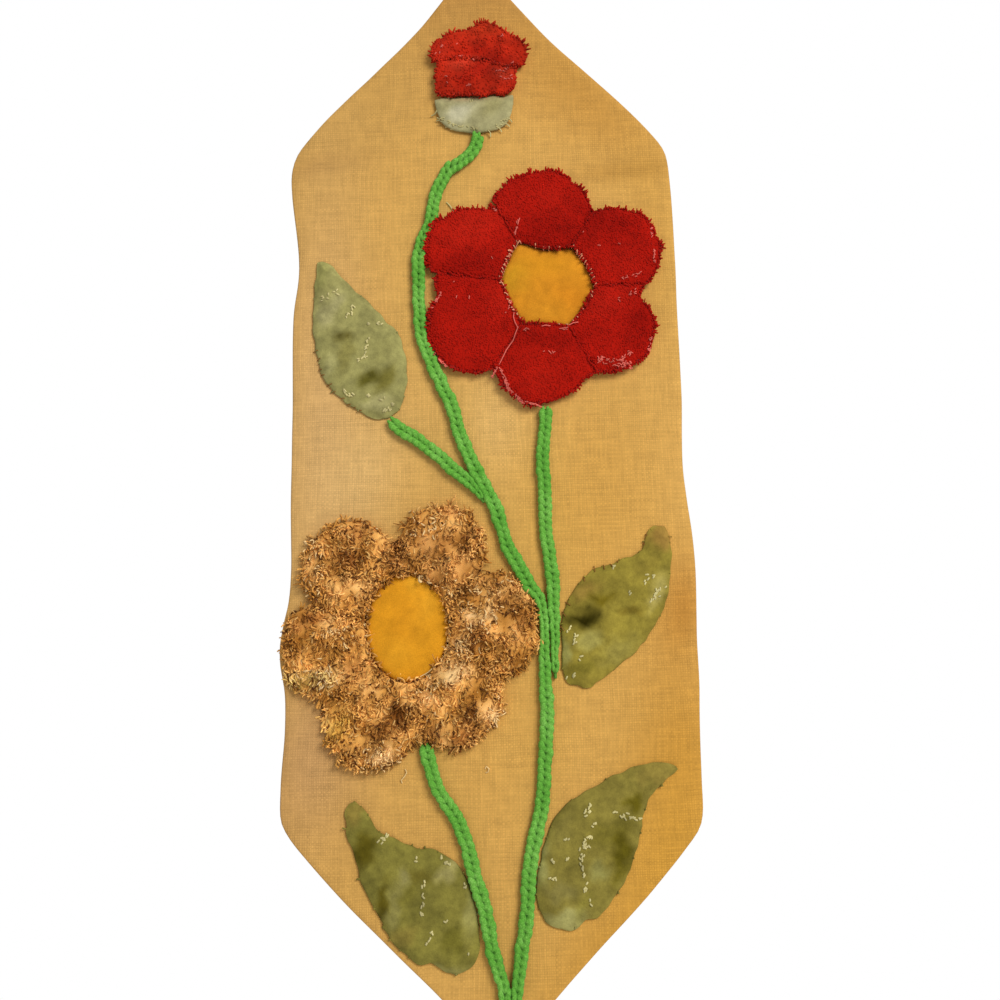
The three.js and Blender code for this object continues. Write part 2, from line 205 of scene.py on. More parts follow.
# Lighter and darker patches over the mustard: a patch, its colour and its share. The dark
# patch over the top and the two narrow dark ones in the shoulder creases are painted shade.
CLOTH_TONES_AND_SHADE = [
    (0, -10, 0, 150, 70, "#b48240", 0.9), (80, -110, -45, 80, 34, "#bf8b3e", 0.85),
    (-90, -130, 45, 80, 34, "#c3964e", 0.7), (-116, -158, 10, 40, 9, "#b48646", 0.5),
    (104, -166, 5, 44, 7, "#a77832", 0.55), (122, -230, 90, 90, 22, "#c59444", 0.7),
    (20, -330, 90, 110, 90, "#d9ab5f", 0.6), (-84, -380, 70, 60, 36, "#d6a963", 0.6),
    (60, -420, 90, 60, 50, "#d5a24a", 0.6), (128, -475, 80, 34, 18, "#b87a2b", 0.7),
    (124, -560, 90, 60, 34, "#c38b34", 0.7), (-112, -560, 80, 60, 34, "#bd905d", 0.8),
    (-60, -640, 40, 50, 26, "#ca9a4e", 0.5), (90, -690, 40, 80, 40, "#c48d32", 0.8),
    (20, -560, 90, 70, 50, "#d5a24e", 0.5), (-108, -340, 90, 160, 30, "#d5ab71", 0.7),
    (80, -380, 90, 80, 36, "#c99646", 0.6), (112, -625, 70, 70, 40, "#cc9432", 0.7),
    (-84, -384, 70, 44, 24, "#dfb572", 0.6), (8, -345, 80, 34, 20, "#dfb36b", 0.6),
]


def smooth(rows, places):
    """Points of the smooth curve through a table's rows, at places from 0 to 1 along it."""
    rows = np.asarray(rows, float)
    rows = np.vstack([2 * rows[0] - rows[1], rows, 2 * rows[-1] - rows[-2]])
    along = np.clip(np.asarray(places, float), 0, 1) * (len(rows) - 3)
    first = np.minimum(along.astype(int), len(rows) - 4)
    share = (along - first)[:, None]
    a, b, c, d = (rows[first + i] for i in range(4))
    gaps = [np.linalg.norm(q - p, axis=1)[:, None] for p, q in ((a, b), (b, c), (c, d))]
    ab, bc, cd = (np.maximum(gap, 1e-9) ** 0.5 for gap in gaps)
    leave = ((b - a) / ab - (c - a) / (ab + bc) + (c - b) / bc) * bc
    arrive = ((c - b) / bc - (d - b) / (bc + cd) + (d - c) / cd) * bc
    bend = 3 * (c - b) - 2 * leave - arrive
    return b + share * leave + share**2 * bend + share**3 * (2 * (b - c) + leave + arrive)


def patch(x, z, middle_x, middle_z, turn, reach, half):
    """How fully a soft patch covers each place: 1 at its middle, and fading outwards."""
    cos, sin = math.cos(math.radians(turn)), math.sin(math.radians(turn))
    along = ((x - middle_x) * cos + (z - middle_z) * sin) / reach
    across = ((z - middle_z) * cos - (x - middle_x) * sin) / half
    return np.exp(-along * along - across * across)


def drape(x, z):
    """How far to the back the front of the cloth lies, in mm, at places on the hanging."""
    y = np.zeros(np.broadcast(x, z).shape)
    for *place, deep in FOLDS:
        y = y + deep * patch(x, z, *place)
    for wave, heading, start, deep in RIPPLES:
        cos, sin = math.cos(math.radians(heading)), math.sin(math.radians(heading))
        y = y + deep * np.sin((x * cos + z * sin) * 2 * math.pi / wave + math.radians(start))
    return y


def dyed_and_shaded(x, z, base, patches, firm=0):
    """The linear colour at each place: a base with patches laid over it, soft or firmer. Some patches
    are painted shade and sheen.
    """
    colour = np.tile(linear(base)[:3], (len(x), 1))
    for *place, code, share in patches:
        cover = patch(x, z, *place)
        for _ in range(firm):
            cover = cover * cover * (3 - 2 * cover)
        colour = colour + (np.array(linear(code)[:3]) - colour) * share * cover[:, None]
    return colour


def kept(mesh, key, kind, values):
    """Keeps a value for each point of a mesh under a name."""
    made = mesh.attributes.new(key, kind, "POINT")
    made.data.foreach_set("vector" if kind == "FLOAT_VECTOR" else "value", np.ravel(values))


def coloured(mesh, colours, reach):
    """Keeps each point's colour on a mesh, painted shade included, and how far up its yarn the point
    stands.
    """
    kept(mesh, "dye", "FLOAT_VECTOR", colours)
    kept(mesh, "reach", "FLOAT", np.full(len(colours), reach))


def shown(name, mesh, slot, *materials):
    """Puts a finished mesh in the scene as a piece of the hanging."""
    for material in materials:
        mesh.materials.append(material)
    mesh.polygons.foreach_set("use_smooth", [True] * len(mesh.polygons))
    piece = bpy.data.objects.new(name, mesh)
    scene.collection.objects.link(piece)
    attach(piece, "root")
    return piece


def mesh_of(name, bm):
    """The mesh of a bmesh, which is then freed."""
    mesh = bpy.data.meshes.new(name)
    bm.to_mesh(mesh)
    bm.free()
    return mesh


def vectors(tree, operation, *values):
    """The result of a maths node on vectors."""
    return node(tree, "ShaderNodeVectorMath", dict(enumerate(values)), operation=operation).outputs[0]


def grain(tree, place, size, detail, rough=0.5, **settings):
    """The outputs of a noise whose clouds have this size in mm."""
    inputs = {"Vector": place, "Scale": 1 / (size * MM), "Detail": detail, "Roughness": rough}
    return node(tree, "ShaderNodeTexNoise", inputs, **settings).outputs


def surfaced(tree, shader, colour, level, height, strength, deep):
    """Gives a shader its colour, darkened or lightened by a level, and a bump deep in mm."""
    colour = node(tree, "ShaderNodeVectorMath", {0: colour, "Scale": level}, operation="SCALE")
    tree.links.new(colour.outputs[0], shader.inputs["Base Color"])
    bump = node(tree, "ShaderNodeBump", {"Height": height, "Strength": strength, "Distance": deep * MM})
    tree.links.new(bump.outputs[0], shader.inputs["Normal"])


# The hem's inner line lies 14 mm from the edge all along it, so that in the two points
# the hems of both sides meet in the middle.
fine_edges = smooth(EDGES, np.linspace(0, 1, FINE))
row_z = np.linspace(0, EDGES[-1][0], ROWS + 1)
left = np.interp(-row_z, -fine_edges[:, 0], fine_edges[:, 1])
right = np.interp(-row_z, -fine_edges[:, 0], fine_edges[:, 2])
rise = np.abs(fine_edges[:, 0][None] - row_z[:, None])
run = np.sqrt(np.maximum(HEM * HEM - rise * rise, 0))
near = rise < HEM
middle = (left + right) / 2
hem_left = np.where(near, fine_edges[:, 1][None] + run, -1e9).max(1)
hem_right = np.where(near, fine_edges[:, 2][None] - run, 1e9).min(1)
hem_left = np.minimum(hem_left, middle - 0.2)
hem_right = np.maximum(hem_right, middle + 0.2)

# Across a row: the left hem from its raw edge outwards, the fold, the field, and the
# same again on the right. x is from edge to edge, and y is from the front of the cloth.
spans_x, spans_y, spans_flat = [], [], []
for outward, edge, hem in ((-1, left, hem_left), (1, right, hem_right)):
    inset = np.minimum(WEAVE / 2 + FOLD_ROUND, np.abs(right - left) / 6)
    turn_x = edge - outward * inset
    hem_shares = np.linspace(1, 0, HEM_COLUMNS + 1)[:-1]
    turns = np.linspace(math.pi, 0, FOLD_STEPS + 1)
    side_x = [turn_x + (hem - turn_x) * share for share in hem_shares]
    side_x += [turn_x + outward * FOLD_ROUND * math.sin(turn) for turn in turns]
    side_y = [0 * edge + 2 * FOLD_ROUND] * HEM_COLUMNS
    side_y += [0 * edge + FOLD_ROUND * (1 - math.cos(turn)) for turn in turns]
    side_flat = [turn_x + outward * (np.abs(hem - turn_x) * share + FOLD_LONG) for share in hem_shares]
    side_flat += [turn_x + outward * FOLD_ROUND * turn for turn in turns]
    spans_x.append(side_x)
    spans_y.append(side_y)
    spans_flat.append(side_flat)
field = [
    spans_x[0][-1] + (spans_x[1][-1] - spans_x[0][-1]) * share
    for share in np.linspace(0, 1, FIELD_COLUMNS + 1)[1:-1]
]
cloth_x = np.array(spans_x[0] + field + spans_x[1][::-1])
cloth_y = np.array(spans_y[0] + [0 * left] * len(field) + spans_y[1][::-1])
cloth_flat = np.array(spans_flat[0] + field + spans_flat[1][::-1])
columns = len(cloth_x) - 1

bm = bmesh.new()
bmesh.ops.create_grid(bm, x_segments=columns, y_segments=ROWS, size=1)
flat = bm.loops.layers.uv.new("flat")
for vert in bm.verts:
    column = round((vert.co.x + 1) / 2 * columns)
    row = round((1 - vert.co.y) / 2 * ROWS)
    x, z = cloth_x[column, row], row_z[row]
    y = drape(x, z) + WEAVE / 2 + cloth_y[column, row]
    vert.co = Vector((x, y, z)) * MM
    for loop in vert.link_loops:
        loop[flat].uv = (cloth_flat[column, row] * MM, z * MM)
bmesh.ops.recalc_face_normals(bm, faces=bm.faces[:])
if sum(face.normal.y for face in bm.faces) > 0:
    bmesh.ops.reverse_faces(bm, faces=bm.faces[:])
cloth_mesh = mesh_of("mustard_cloth", bm)

# The cloth's colour, with the painted shade of its top and creases, is kept on its points.
spots = np.array([vert.co for vert in cloth_mesh.vertices]) / MM
coloured(cloth_mesh, dyed_and_shaded(spots[:, 0], spots[:, 2], MUSTARD, CLOTH_TONES_AND_SHADE), 1)

# Cotton, woven plain from coarse uneven yarn and washed soft: matt, a bump at every
# crossing, and a thicker or paler thread here and there.
cotton, tree, shader = finish(
    "plain-woven coarse cotton",
    {"Roughness": 0.95, "Specular IOR Level": 0.1, "Sheen Weight": 0.04, "Sheen Roughness": 0.6},
)
uv = node(tree, "ShaderNodeUVMap", uv_map="flat").outputs["UV"]
sway = grain(tree, uv, 35, 2, noise_dimensions="2D")["Color"]
sway = vectors(tree, "MULTIPLY_ADD", sway, (2.6 * MM, 2.6 * MM, 0), uv)
waves = (math.pi / THREAD_GAP / MM, math.pi / THREAD_GAP / MM, 0)
waves = vectors(tree, "SINE", vectors(tree, "MULTIPLY", sway, waves))
split = node(tree, "ShaderNodeSeparateXYZ", {0: waves}).outputs
crossed = maths(tree, "MULTIPLY", split[0], split[1])
warp_on_top = node(tree, "ShaderNodeMapRange", {0: crossed, 1: -0.25, 2: 0.25}).outputs[0]
sizes = node(tree, "ShaderNodeSeparateXYZ", {0: vectors(tree, "ABSOLUTE", waves)}).outputs
long_x, long_y, round_x, round_y = (
    maths(tree, "POWER", socket, power)
    for power in (0.35, 0.9)
    for socket in (sizes[0], sizes[1])
)
warp = maths(tree, "MULTIPLY", round_x, long_y)
weft = maths(tree, "MULTIPLY", long_x, round_y)
relief = node(tree, "ShaderNodeMix", {0: warp_on_top, 2: weft, 3: warp}).outputs[0]
# Washing has raised a fuzz that hides the weave in places.
fuzz = grain(tree, uv, 24, 2, noise_dimensions="2D")[0]
clear = node(tree, "ShaderNodeMapRange", {0: fuzz, 1: 0.35, 2: 0.65, 3: 0.25, 4: 1}).outputs[0]
relief = node(tree, "ShaderNodeMix", {0: clear, 2: 0.55, 3: relief}).outputs[0]
slubs = []
for stretch in ((1 / (1.5 * MM), 1 / (26 * MM), 1), (1 / (30 * MM), 1 / (1.5 * MM), 1)):
    streak = {"Vector": vectors(tree, "MULTIPLY", sway, stretch), "Scale": 1, "Detail": 1.5}
    slubs.append(node(tree, "ShaderNodeTexNoise", streak, noise_dimensions="2D").outputs[0])
slub = node(tree, "ShaderNodeMix", {0: warp_on_top, 2: slubs[1], 3: slubs[0]}).outputs[0]
grime = grain(tree, uv, 9, 4, 0.65, noise_dimensions="2D")[0]
level = maths(tree, "MULTIPLY_ADD", slub, 0.48, 0.44)
# Painted shade: the colour is darker where the weave's relief is low, where a thread dips under the
# next.
level = maths(tree, "MULTIPLY_ADD", relief, 0.2, level)
level = maths(tree, "MULTIPLY_ADD", grime, 0.3, level)
height = maths(tree, "MULTIPLY_ADD", slub, 0.5, relief)
# The cloth's colour here holds the painted shade of its top and shoulder creases.
cloth_colour_and_shade = node(tree, "ShaderNodeAttribute", attribute_name="dye").outputs["Vector"]
surfaced(tree, shader, cloth_colour_and_shade, level, height, 0.45, 0.28)

ground = shown("mustard_cloth", cloth_mesh, "mustard_cloth", cotton)
thicken = ground.modifiers.new("thick", "SOLIDIFY")
thicken.thickness = WEAVE * MM
thicken.offset = 0
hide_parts("ground_cloth")

# ---- Pile cloth and its tufts ----
# Every petal, leaf and bud tier is cut from a pile cloth and sewn down round its edge.
# Its body is closed and domed. The tufts are real: they stand close together all over
# it, lean outwards at the edge, and some stick out past it.
GAP = 0.4  # between a sewn piece and the cloth
BLUR = 8  # the size of the wandering of one dyed patch's border into the next
CLUMP = 7  # how far apart the ragged clumps stand along an edge
SWIRL = 15  # how wide the swirls are in which a pile is brushed
SPLAY_FADE = 3  # how far in from the edge the splay of a body's top fades
LEAN_FADE = 2.5  # and how far in the outward lean of its tufts fades
INSIDE = 0.25  # how far inside the edge the outermost tufts of a piece's face stand
JITTER = 0.36  # how far a tuft strays from its place, as a share of the gap between tufts
FAT = (0.85, 1.15)  # how thin and how thick a tuft can be
STRAY_LONG = (1.3, 2)  # how much longer a stray end is than its fellows
STRAY_FAT = 0.75
SOFT_BARE = 0.85  # the share of tufts left out where the pile is soft
SOFT_REACH = 0.85  # how far up the yarn the body's colour is taken there, so that less shade is painted on it
BUTTED_TUFTS = 1.4  # how many tufts stand on each gap of an edge that has a neighbour,
BUTTED_HIGH = 0.8  # how high up the rim they stand, as a share,
BUTTED_LEAN = 0.35  # and how far they lean over it
EDGE_LOW = 0.5  # the height of the lowest roots along an edge
EDGE_SPAN = 0.9  # how much less than the rim's height the roots are spread over
SHADES = (0.45, 1.8)  # how dark and how light one end can be beside its place's dye
ROW_GAP = 0.866  # between staggered rows of equally spaced points, as a share of their gap


def cloudy(x, z, size, level):
    """Soft noise from about -1 to 1 over the hanging, with clouds of the given size. Each
    use takes a level of its own, so that no two of them match."""
    return np.array([noise.noise((a / size, b / size, level)) for a, b in zip(x, z)])


def dyeing_and_shading(base, patches, wander, cloud, firm=0):
    """How a pile's colours lie: patches with wandering borders, and faint lighter and darker clouds. In
    some piles these are painted sheen and shade.
    """

    def dye(x, z):
        moved_x = x + wander * cloudy(x, z, BLUR, 1.5)
        moved_z = z + wander * cloudy(x, z, BLUR, 4.5)
        level = 1 + cloud * (cloudy(x, z, 11, 7.5) + 0.8 * cloudy(x, z, 5, 8.5))
        return dyed_and_shaded(moved_x, moved_z, base, patches, firm) * level[:, None]

    return dye


def ragged(spot, amount, size, steady=0.0):
    """The same piece cut a little out of true, but for its first share along, kept steady."""

    def cut(across, along):
        x, z = spot(across, along)
        free = amount * (np.clip(along / steady, 0, 1) if steady else 1)
        return x + free * cloudy(x, z, size, 12.5), z + free * cloudy(x, z, size, 15.5)

    return cut


def edge_of(spot, steps=18):
    """The outline of a piece, given where each share across and along it lies, and the
    way out across each step of it."""
    go, still = np.linspace(0, 1, steps, endpoint=False), np.zeros(steps)
    across = np.concatenate([go, still + 1, 1 - go, still])
    along = np.concatenate([still, go, still + 1, 1 - go])
    outline = np.column_stack(spot(across, along))
    onward = np.roll(outline, -1, axis=0)
    way = np.sign(np.sum(outline[:, 0] * onward[:, 1] - outline[:, 1] * onward[:, 0]))
    run = onward - outline
    out = way * np.column_stack([run[:, 1], -run[:, 0]])
    return outline, out / np.maximum(np.linalg.norm(out, axis=1), 1e-9)[:, None]


def within(points, outline):
    """How far inside the outline each point lies, and the way out to its edge."""
    start, end = outline, np.roll(outline, -1, axis=0)
    run = end - start
    share = ((points[:, None] - start) * run).sum(2) / np.maximum((run * run).sum(1), 1e-12)
    away = start + np.clip(share, 0, 1)[..., None] * run - points[:, None]
    length = np.linalg.norm(away, axis=2)
    rows, best = np.arange(len(points)), length.argmin(1)
    x, z = points[:, 0:1], points[:, 1:2]
    spans = (start[:, 1] > z) != (end[:, 1] > z)
    slope = run[:, 0] / np.where(np.abs(run[:, 1]) < 1e-9, 1e-9, run[:, 1])
    sign = np.where((spans & (x < start[:, 0] + (z - start[:, 1]) * slope)).sum(1) % 2, 1, -1)
    depth = length[rows, best]
    return sign * depth, sign[:, None] * away[rows, best] / np.maximum(depth, 1e-6)[:, None]


def covered(x, z, patches):
    """How fully any of several patches covers each place."""
    clear = np.ones(len(x))
    for place in patches:
        clear = clear * (1 - patch(x, z, *place))
    return 1 - clear


def standing(x, z, depth, pile):
    """Y of the surface of a piece's pile, where it lies so deep inside its edge."""
    rise = 1 - (1 - np.clip(depth / pile["shoulder"], 0, 1)) ** 2
    lumps = pile["lumps"] * cloudy(x, z, pile["lump_size"], 2.5) + covered(x, z, pile["bare"])
    return drape(x, z) - GAP - pile["rim"] - (pile["crown"] - pile["rim"] + lumps) * rise


def sewn(name, node_name, cells, pile, spot, dye, slot, material):
    """The closed body of a piece cut from pile cloth, pressed on the ground cloth."""
    bm = bmesh.new()
    bmesh.ops.create_grid(bm, x_segments=cells[0], y_segments=cells[1], size=0.5)
    made = bmesh.ops.extrude_face_region(bm, geom=bm.faces[:], use_keep_orig=True)["geom"]
    raised = {part for part in made if isinstance(part, bmesh.types.BMVert)}
    shares = np.array([vert.co[:2] for vert in bm.verts]) + 0.5
    x, z = spot(shares[:, 0], shares[:, 1])
    depth, _ = within(np.column_stack([x, z]), edge_of(spot)[0])
    over = standing(x, z, depth, pile)
    splay = pile["splay"] * np.exp(-np.abs(depth) / SPLAY_FADE) / np.hypot(x - x.mean(), z - z.mean())
    wide_x, wide_z = x + (x - x.mean()) * splay, z + (z - z.mean()) * splay
    under = drape(x, z) - GAP
    for i, vert in enumerate(bm.verts):
        if vert in raised:
            vert.co = Vector((wide_x[i], over[i], wide_z[i])) * MM
        else:
            vert.co = Vector((x[i], under[i], z[i])) * MM
    bmesh.ops.recalc_face_normals(bm, faces=bm.faces[:])
    mesh = mesh_of(name, bm)
    smoothed = covered(x, z, pile["bare"])
    # The body under the tufts stands low on the yarn, so it is painted darker, as shade between the
    # tufts; less so where the pile is soft.
    coloured(mesh, dye(x, z), pile["body_reach"] + (SOFT_REACH - pile["body_reach"]) * smoothed)
    piece = shown(name, mesh, slot, material)
    rounded = piece.modifiers.new("rounded", "SUBSURF")
    rounded.levels = rounded.render_levels = 1
    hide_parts(node_name)
    return piece


def tuft(family, length, thick, bends, sides=4, taper=(1, 1, 0.6)):
    """A tuft that stands on the origin. bends turn it at each ring, in degrees about X, Y."""
    bm = bmesh.new()
    reach = bm.verts.layers.float.new("reach")
    bmesh.ops.create_circle(bm, segments=sides, radius=thick / 2, cap_ends=True)
    face = bm.faces[:][0]
    lie, size = Matrix.Identity(4), taper[0]
    bmesh.ops.scale(bm, vec=(size, size, size), verts=bm.verts[:])
    for i, (about_x, about_y) in enumerate(bends):
        made = bmesh.ops.extrude_face_region(bm, geom=[face], use_keep_orig=i == 0)["geom"]
        ring = [part for part in made if isinstance(part, bmesh.types.BMVert)]
        face = next(part for part in made if isinstance(part, bmesh.types.BMFace))
        share = (i + 1) / len(bends)
        grown = np.interp(share, np.linspace(0, 1, len(taper)), taper)
        onward = (
            lie
            @ Matrix.Rotation(math.radians(about_x), 4, "X")
            @ Matrix.Rotation(math.radians(about_y), 4, "Y")
            @ Matrix.Translation((0, 0, length / len(bends)))
        )
        move = onward @ Matrix.Scale(grown / size, 4) @ lie.inverted()
        bmesh.ops.transform(bm, matrix=move, verts=ring)
        for vert in ring:
            vert[reach] = share
        lie, size = onward, grown
    bmesh.ops.recalc_face_normals(bm, faces=bm.faces[:])
    bmesh.ops.scale(bm, vec=(MM, MM, MM), verts=bm.verts[:])
    for face in bm.faces:
        face.smooth = True
    name = f"{family.name}_{len(family.objects):02d}"
    family.objects.link(bpy.data.objects.new(name, mesh_of(name, bm)))


def planted(name, family, roots, slot, material):
    """One mesh of copies of a family of tufts. A root is a place in mm, a turn, a size,
    which of the family stands there, and its colour."""
    places, turns, sizes, kinds, dyes = zip(*roots)
    mesh = bpy.data.meshes.new(name)
    mesh.from_pydata([Vector(place) * MM for place in places], [], [])
    kept(mesh, "turn", "FLOAT_VECTOR", [tuple(turn.to_euler()) for turn in turns])
    kept(mesh, "size", "FLOAT_VECTOR", sizes)
    kept(mesh, "kind", "INT", kinds)
    kept(mesh, "dye", "FLOAT_VECTOR", dyes)
    group = bpy.data.node_groups.new(name, "GeometryNodeTree")
    for way in ("INPUT", "OUTPUT"):
        group.interface.new_socket("Geometry", in_out=way, socket_type="NodeSocketGeometry")
    reads = {
        key: node(
            group, "GeometryNodeInputNamedAttribute", {"Name": key}, data_type=kind,
        ).outputs["Attribute"]
        for key, kind in (("turn", "FLOAT_VECTOR"), ("size", "FLOAT_VECTOR"), ("kind", "INT"))
    }
    shapes = node(
        group, "GeometryNodeCollectionInfo",
        {"Collection": family, "Separate Children": True, "Reset Children": True},
    )
    copies = node(
        group, "GeometryNodeInstanceOnPoints",
        {
            "Points": node(group, "NodeGroupInput").outputs[0], "Instance": shapes.outputs[0],
            "Pick Instance": True, "Instance Index": reads["kind"], "Rotation": reads["turn"],
            "Scale": reads["size"],
        },
    )
    solid = node(group, "GeometryNodeRealizeInstances", {0: copies.outputs[0]})
    node(group, "NodeGroupOutput", {0: solid.outputs[0]})
    seed = bpy.data.objects.new("seed", mesh)
    scene.collection.objects.link(seed)
    seed.modifiers.new("plant", "NODES").node_group = group
    depsgraph = bpy.context.evaluated_depsgraph_get()
    grown = bpy.data.meshes.new_from_object(
        seed.evaluated_get(depsgraph), preserve_all_data_layers=True, depsgraph=depsgraph,
    )
    bpy.data.objects.remove(seed)
    bpy.data.meshes.remove(mesh)
    bpy.data.node_groups.remove(group)
    grown.name = name
    grown.materials.clear()
    for key in ("turn", "size", "kind"):
        if key in grown.attributes:
            grown.attributes.remove(grown.attributes[key])
    return shown(name, grown, slot, material)


def upright(way, spin=0.0):
    """The turn of a tuft that stands along a way, spun about itself."""
    return Vector(way).to_track_quat("Z", "Y") @ Quaternion((0, 0, 1), spin)


def strewn(outline, gap, rng):
    """Points about gap mm apart all over an outline, none of them in rows."""
    low, high = outline.min(0), outline.max(0)
    points = []
    for row in range(int((high[1] - low[1]) / gap / ROW_GAP) + 2):
        for column in range(int((high[0] - low[0]) / gap) + 2):
            x = column + 0.5 * (row % 2) + rng.uniform(-JITTER, JITTER)
            z = row * ROW_GAP + rng.uniform(-JITTER, JITTER)
            points.append((low[0] + gap * x, low[1] + gap * z))
    return np.array(points)


def tufted(spot, pile, dye, flecks, rng):
    """The roots of the tufts all over a piece, and of those along its edge. Flecks are
    patches where pale ends show among them: a patch, the ends' colour and their share."""
    outline, out = edge_of(spot)
    points = strewn(outline, pile["gap"], rng)
    depth, nearest = within(points, outline)
    smoothed = covered(points[:, 0], points[:, 1], pile["bare"])
    clump = cloudy(points[:, 0], points[:, 1], CLUMP, 19.5)
    share = pile["cover"] + pile["clumped"] * clump - SOFT_BARE * smoothed
    chosen = (depth > INSIDE) & (depth < pile["deep"])
    chosen &= np.array([rng.random() for _ in points]) < share
    points, depth, nearest = points[chosen], depth[chosen], nearest[chosen]
    level = standing(points[:, 0], points[:, 1], depth, pile) + pile["sunk"]
    roots = []

    def yarns(x, z):
        """The colour of each end: a little lighter or darker than its place, or pale."""
        spread = np.array([rng.gauss(1, pile["uneven"]) for _ in x])
        ends = dye(x, z) * np.clip(spread, *SHADES)[:, None]
        for *place, code, share in flecks:
            weight = share * patch(x, z, *place)
            struck = np.array([rng.random() for _ in x]) < weight
            ends[struck] = linear(code)[:3]
        return ends

    dyes = yarns(points[:, 0], points[:, 1])
    heading = 1.8 * math.pi * cloudy(points[:, 0], points[:, 1], SWIRL, 22.5) - math.pi / 2
    for (x, z), y, deep, (out_x, out_z), end, comb in zip(points, level, depth, nearest, dyes, heading):
        lean = pile["lean"] * math.exp(-deep / LEAN_FADE) + rng.gauss(0, pile["loose"])
        side = rng.gauss(0, pile["loose"])
        way = (
            out_x * lean - out_z * side + pile["combed"] * math.cos(comb), -1,
            out_z * lean + out_x * side + pile["combed"] * math.sin(comb),
        )
        long, fat = rng.uniform(*pile["long"]), rng.uniform(*FAT)
        turn = upright(way, rng.gauss(0, pile["spin"]))
        roots.append(((x, y, z), turn, (fat, fat, long), rng.randrange(pile["kinds"]), end))
    # Along the edge they lean out over it, except where another piece butts against it.
    edge, ways = [], []
    steps = np.roll(outline, -1, axis=0) - outline
    for i, (start, step, way) in enumerate(zip(outline, steps, out)):
        butted = not pile["free"][4 * i // len(out)]
        full = np.hypot(*step) / pile["gap"] * (BUTTED_TUFTS if butted else pile["rim_tufts"])
        for _ in range(int(full + rng.random())):
            edge.append(start + step * rng.random())
            ways.append((*way, butted))
    edge = np.array(edge)
    clumps = cloudy(edge[:, 0], edge[:, 1], CLUMP, 9.5)
    for (x, z), (out_x, out_z, butted), clump, end in zip(edge, ways, clumps, yarns(*edge.T)):
        side, high = rng.gauss(0, pile["rim_loose"]), rng.random() ** pile["rim_up"]
        if butted:
            high = BUTTED_HIGH
            way = (out_x * BUTTED_LEAN - out_z * side, -1, out_z * BUTTED_LEAN + out_x * side)
        else:
            way = (out_x - out_z * side, -0.15 - 0.8 * high, out_z + out_x * side)
        y = drape(x, z) - GAP - EDGE_LOW - (pile["rim"] - EDGE_SPAN) * high
        long, fat = rng.uniform(*pile["long"]) * (1 + 0.5 * clump), rng.uniform(*FAT)
        if not butted and rng.random() < pile["strays"] * (1 + 2.5 * clump):
            long *= rng.uniform(*STRAY_LONG)
            fat *= STRAY_FAT
        inset = 0.2 if butted else 0.8
        place = (x - out_x * inset, float(y), z - out_z * inset)
        turn = upright(way, rng.uniform(0, 2 * math.pi))
        roots.append((place, turn, (fat, fat, long), rng.randrange(pile["kinds"]), end))
    return roots


def pile_cloth(name, foot, tip, nap_mm, blotch_mm, blotchy, sockets):
    """Cut pile of its colours, painted darker down at its foot than at its tip as shade among
    the tufts, with a fine grain in it and faint blotches of painted sheen and shade where it is brushed
    this way and that."""
    material, tree, shader = finish(name, sockets)
    place = node(tree, "ShaderNodeTexCoord").outputs["Object"]
    nap = grain(tree, place, nap_mm, 2)[0]
    reach = node(tree, "ShaderNodeAttribute", attribute_name="reach").outputs["Fac"]
    low = 0.2 + blotchy / 2  # what the nap and the blotches add on average
    # Painted shade: the foot of each tuft, and a body low on the yarn, are darker than the tips.
    lift = node(tree, "ShaderNodeMapRange", {0: reach, 3: foot - low, 4: tip - low}).outputs[0]
    # Painted sheen and shade: soft blotches where the nap is brushed different ways.
    lift = maths(tree, "MULTIPLY_ADD", grain(tree, place, blotch_mm, 3, 0.6)[0], blotchy, lift)
    lift = maths(tree, "MULTIPLY_ADD", nap, 0.4, lift)
    dye = node(tree, "ShaderNodeAttribute", attribute_name="dye").outputs["Vector"]
    surfaced(tree, shader, dye, lift, nap, 0.4, 0.35)
    return material


def sewing(name, lines, thick, dye, slot, material):
    """Threads as one mesh: each line runs through points of x, how far off the cloth, z."""
    drawing = bpy.data.curves.new(name, "CURVE")
    drawing.dimensions = "3D"
    drawing.bevel_depth = thick / 2 * MM
    drawing.bevel_resolution = 0
    drawing.use_fill_caps = True
    for line in lines:
        spline = drawing.splines.new("POLY")
        spline.points.add(len(line) - 1)
        for point, (x, off, z) in zip(spline.points, line):
            point.co = (x * MM, (float(drape(x, z)) - off) * MM, z * MM, 1)
    drawn = bpy.data.objects.new(name, drawing)
    mesh = bpy.data.meshes.new_from_object(drawn)
    bpy.data.objects.remove(drawn)
    mesh.name = name
    mesh.materials.clear()
    places = np.array([vert.co for vert in mesh.vertices]) / MM
    coloured(mesh, dye(places[:, 0], places[:, 2]), 1)
    return shown(name, mesh, slot, material)


BITS = 1.6  # how many bits of thread show on 4 square mm of a fully worn place
BIT_LONG = (0.45, 1.0)  # half the length of a bit


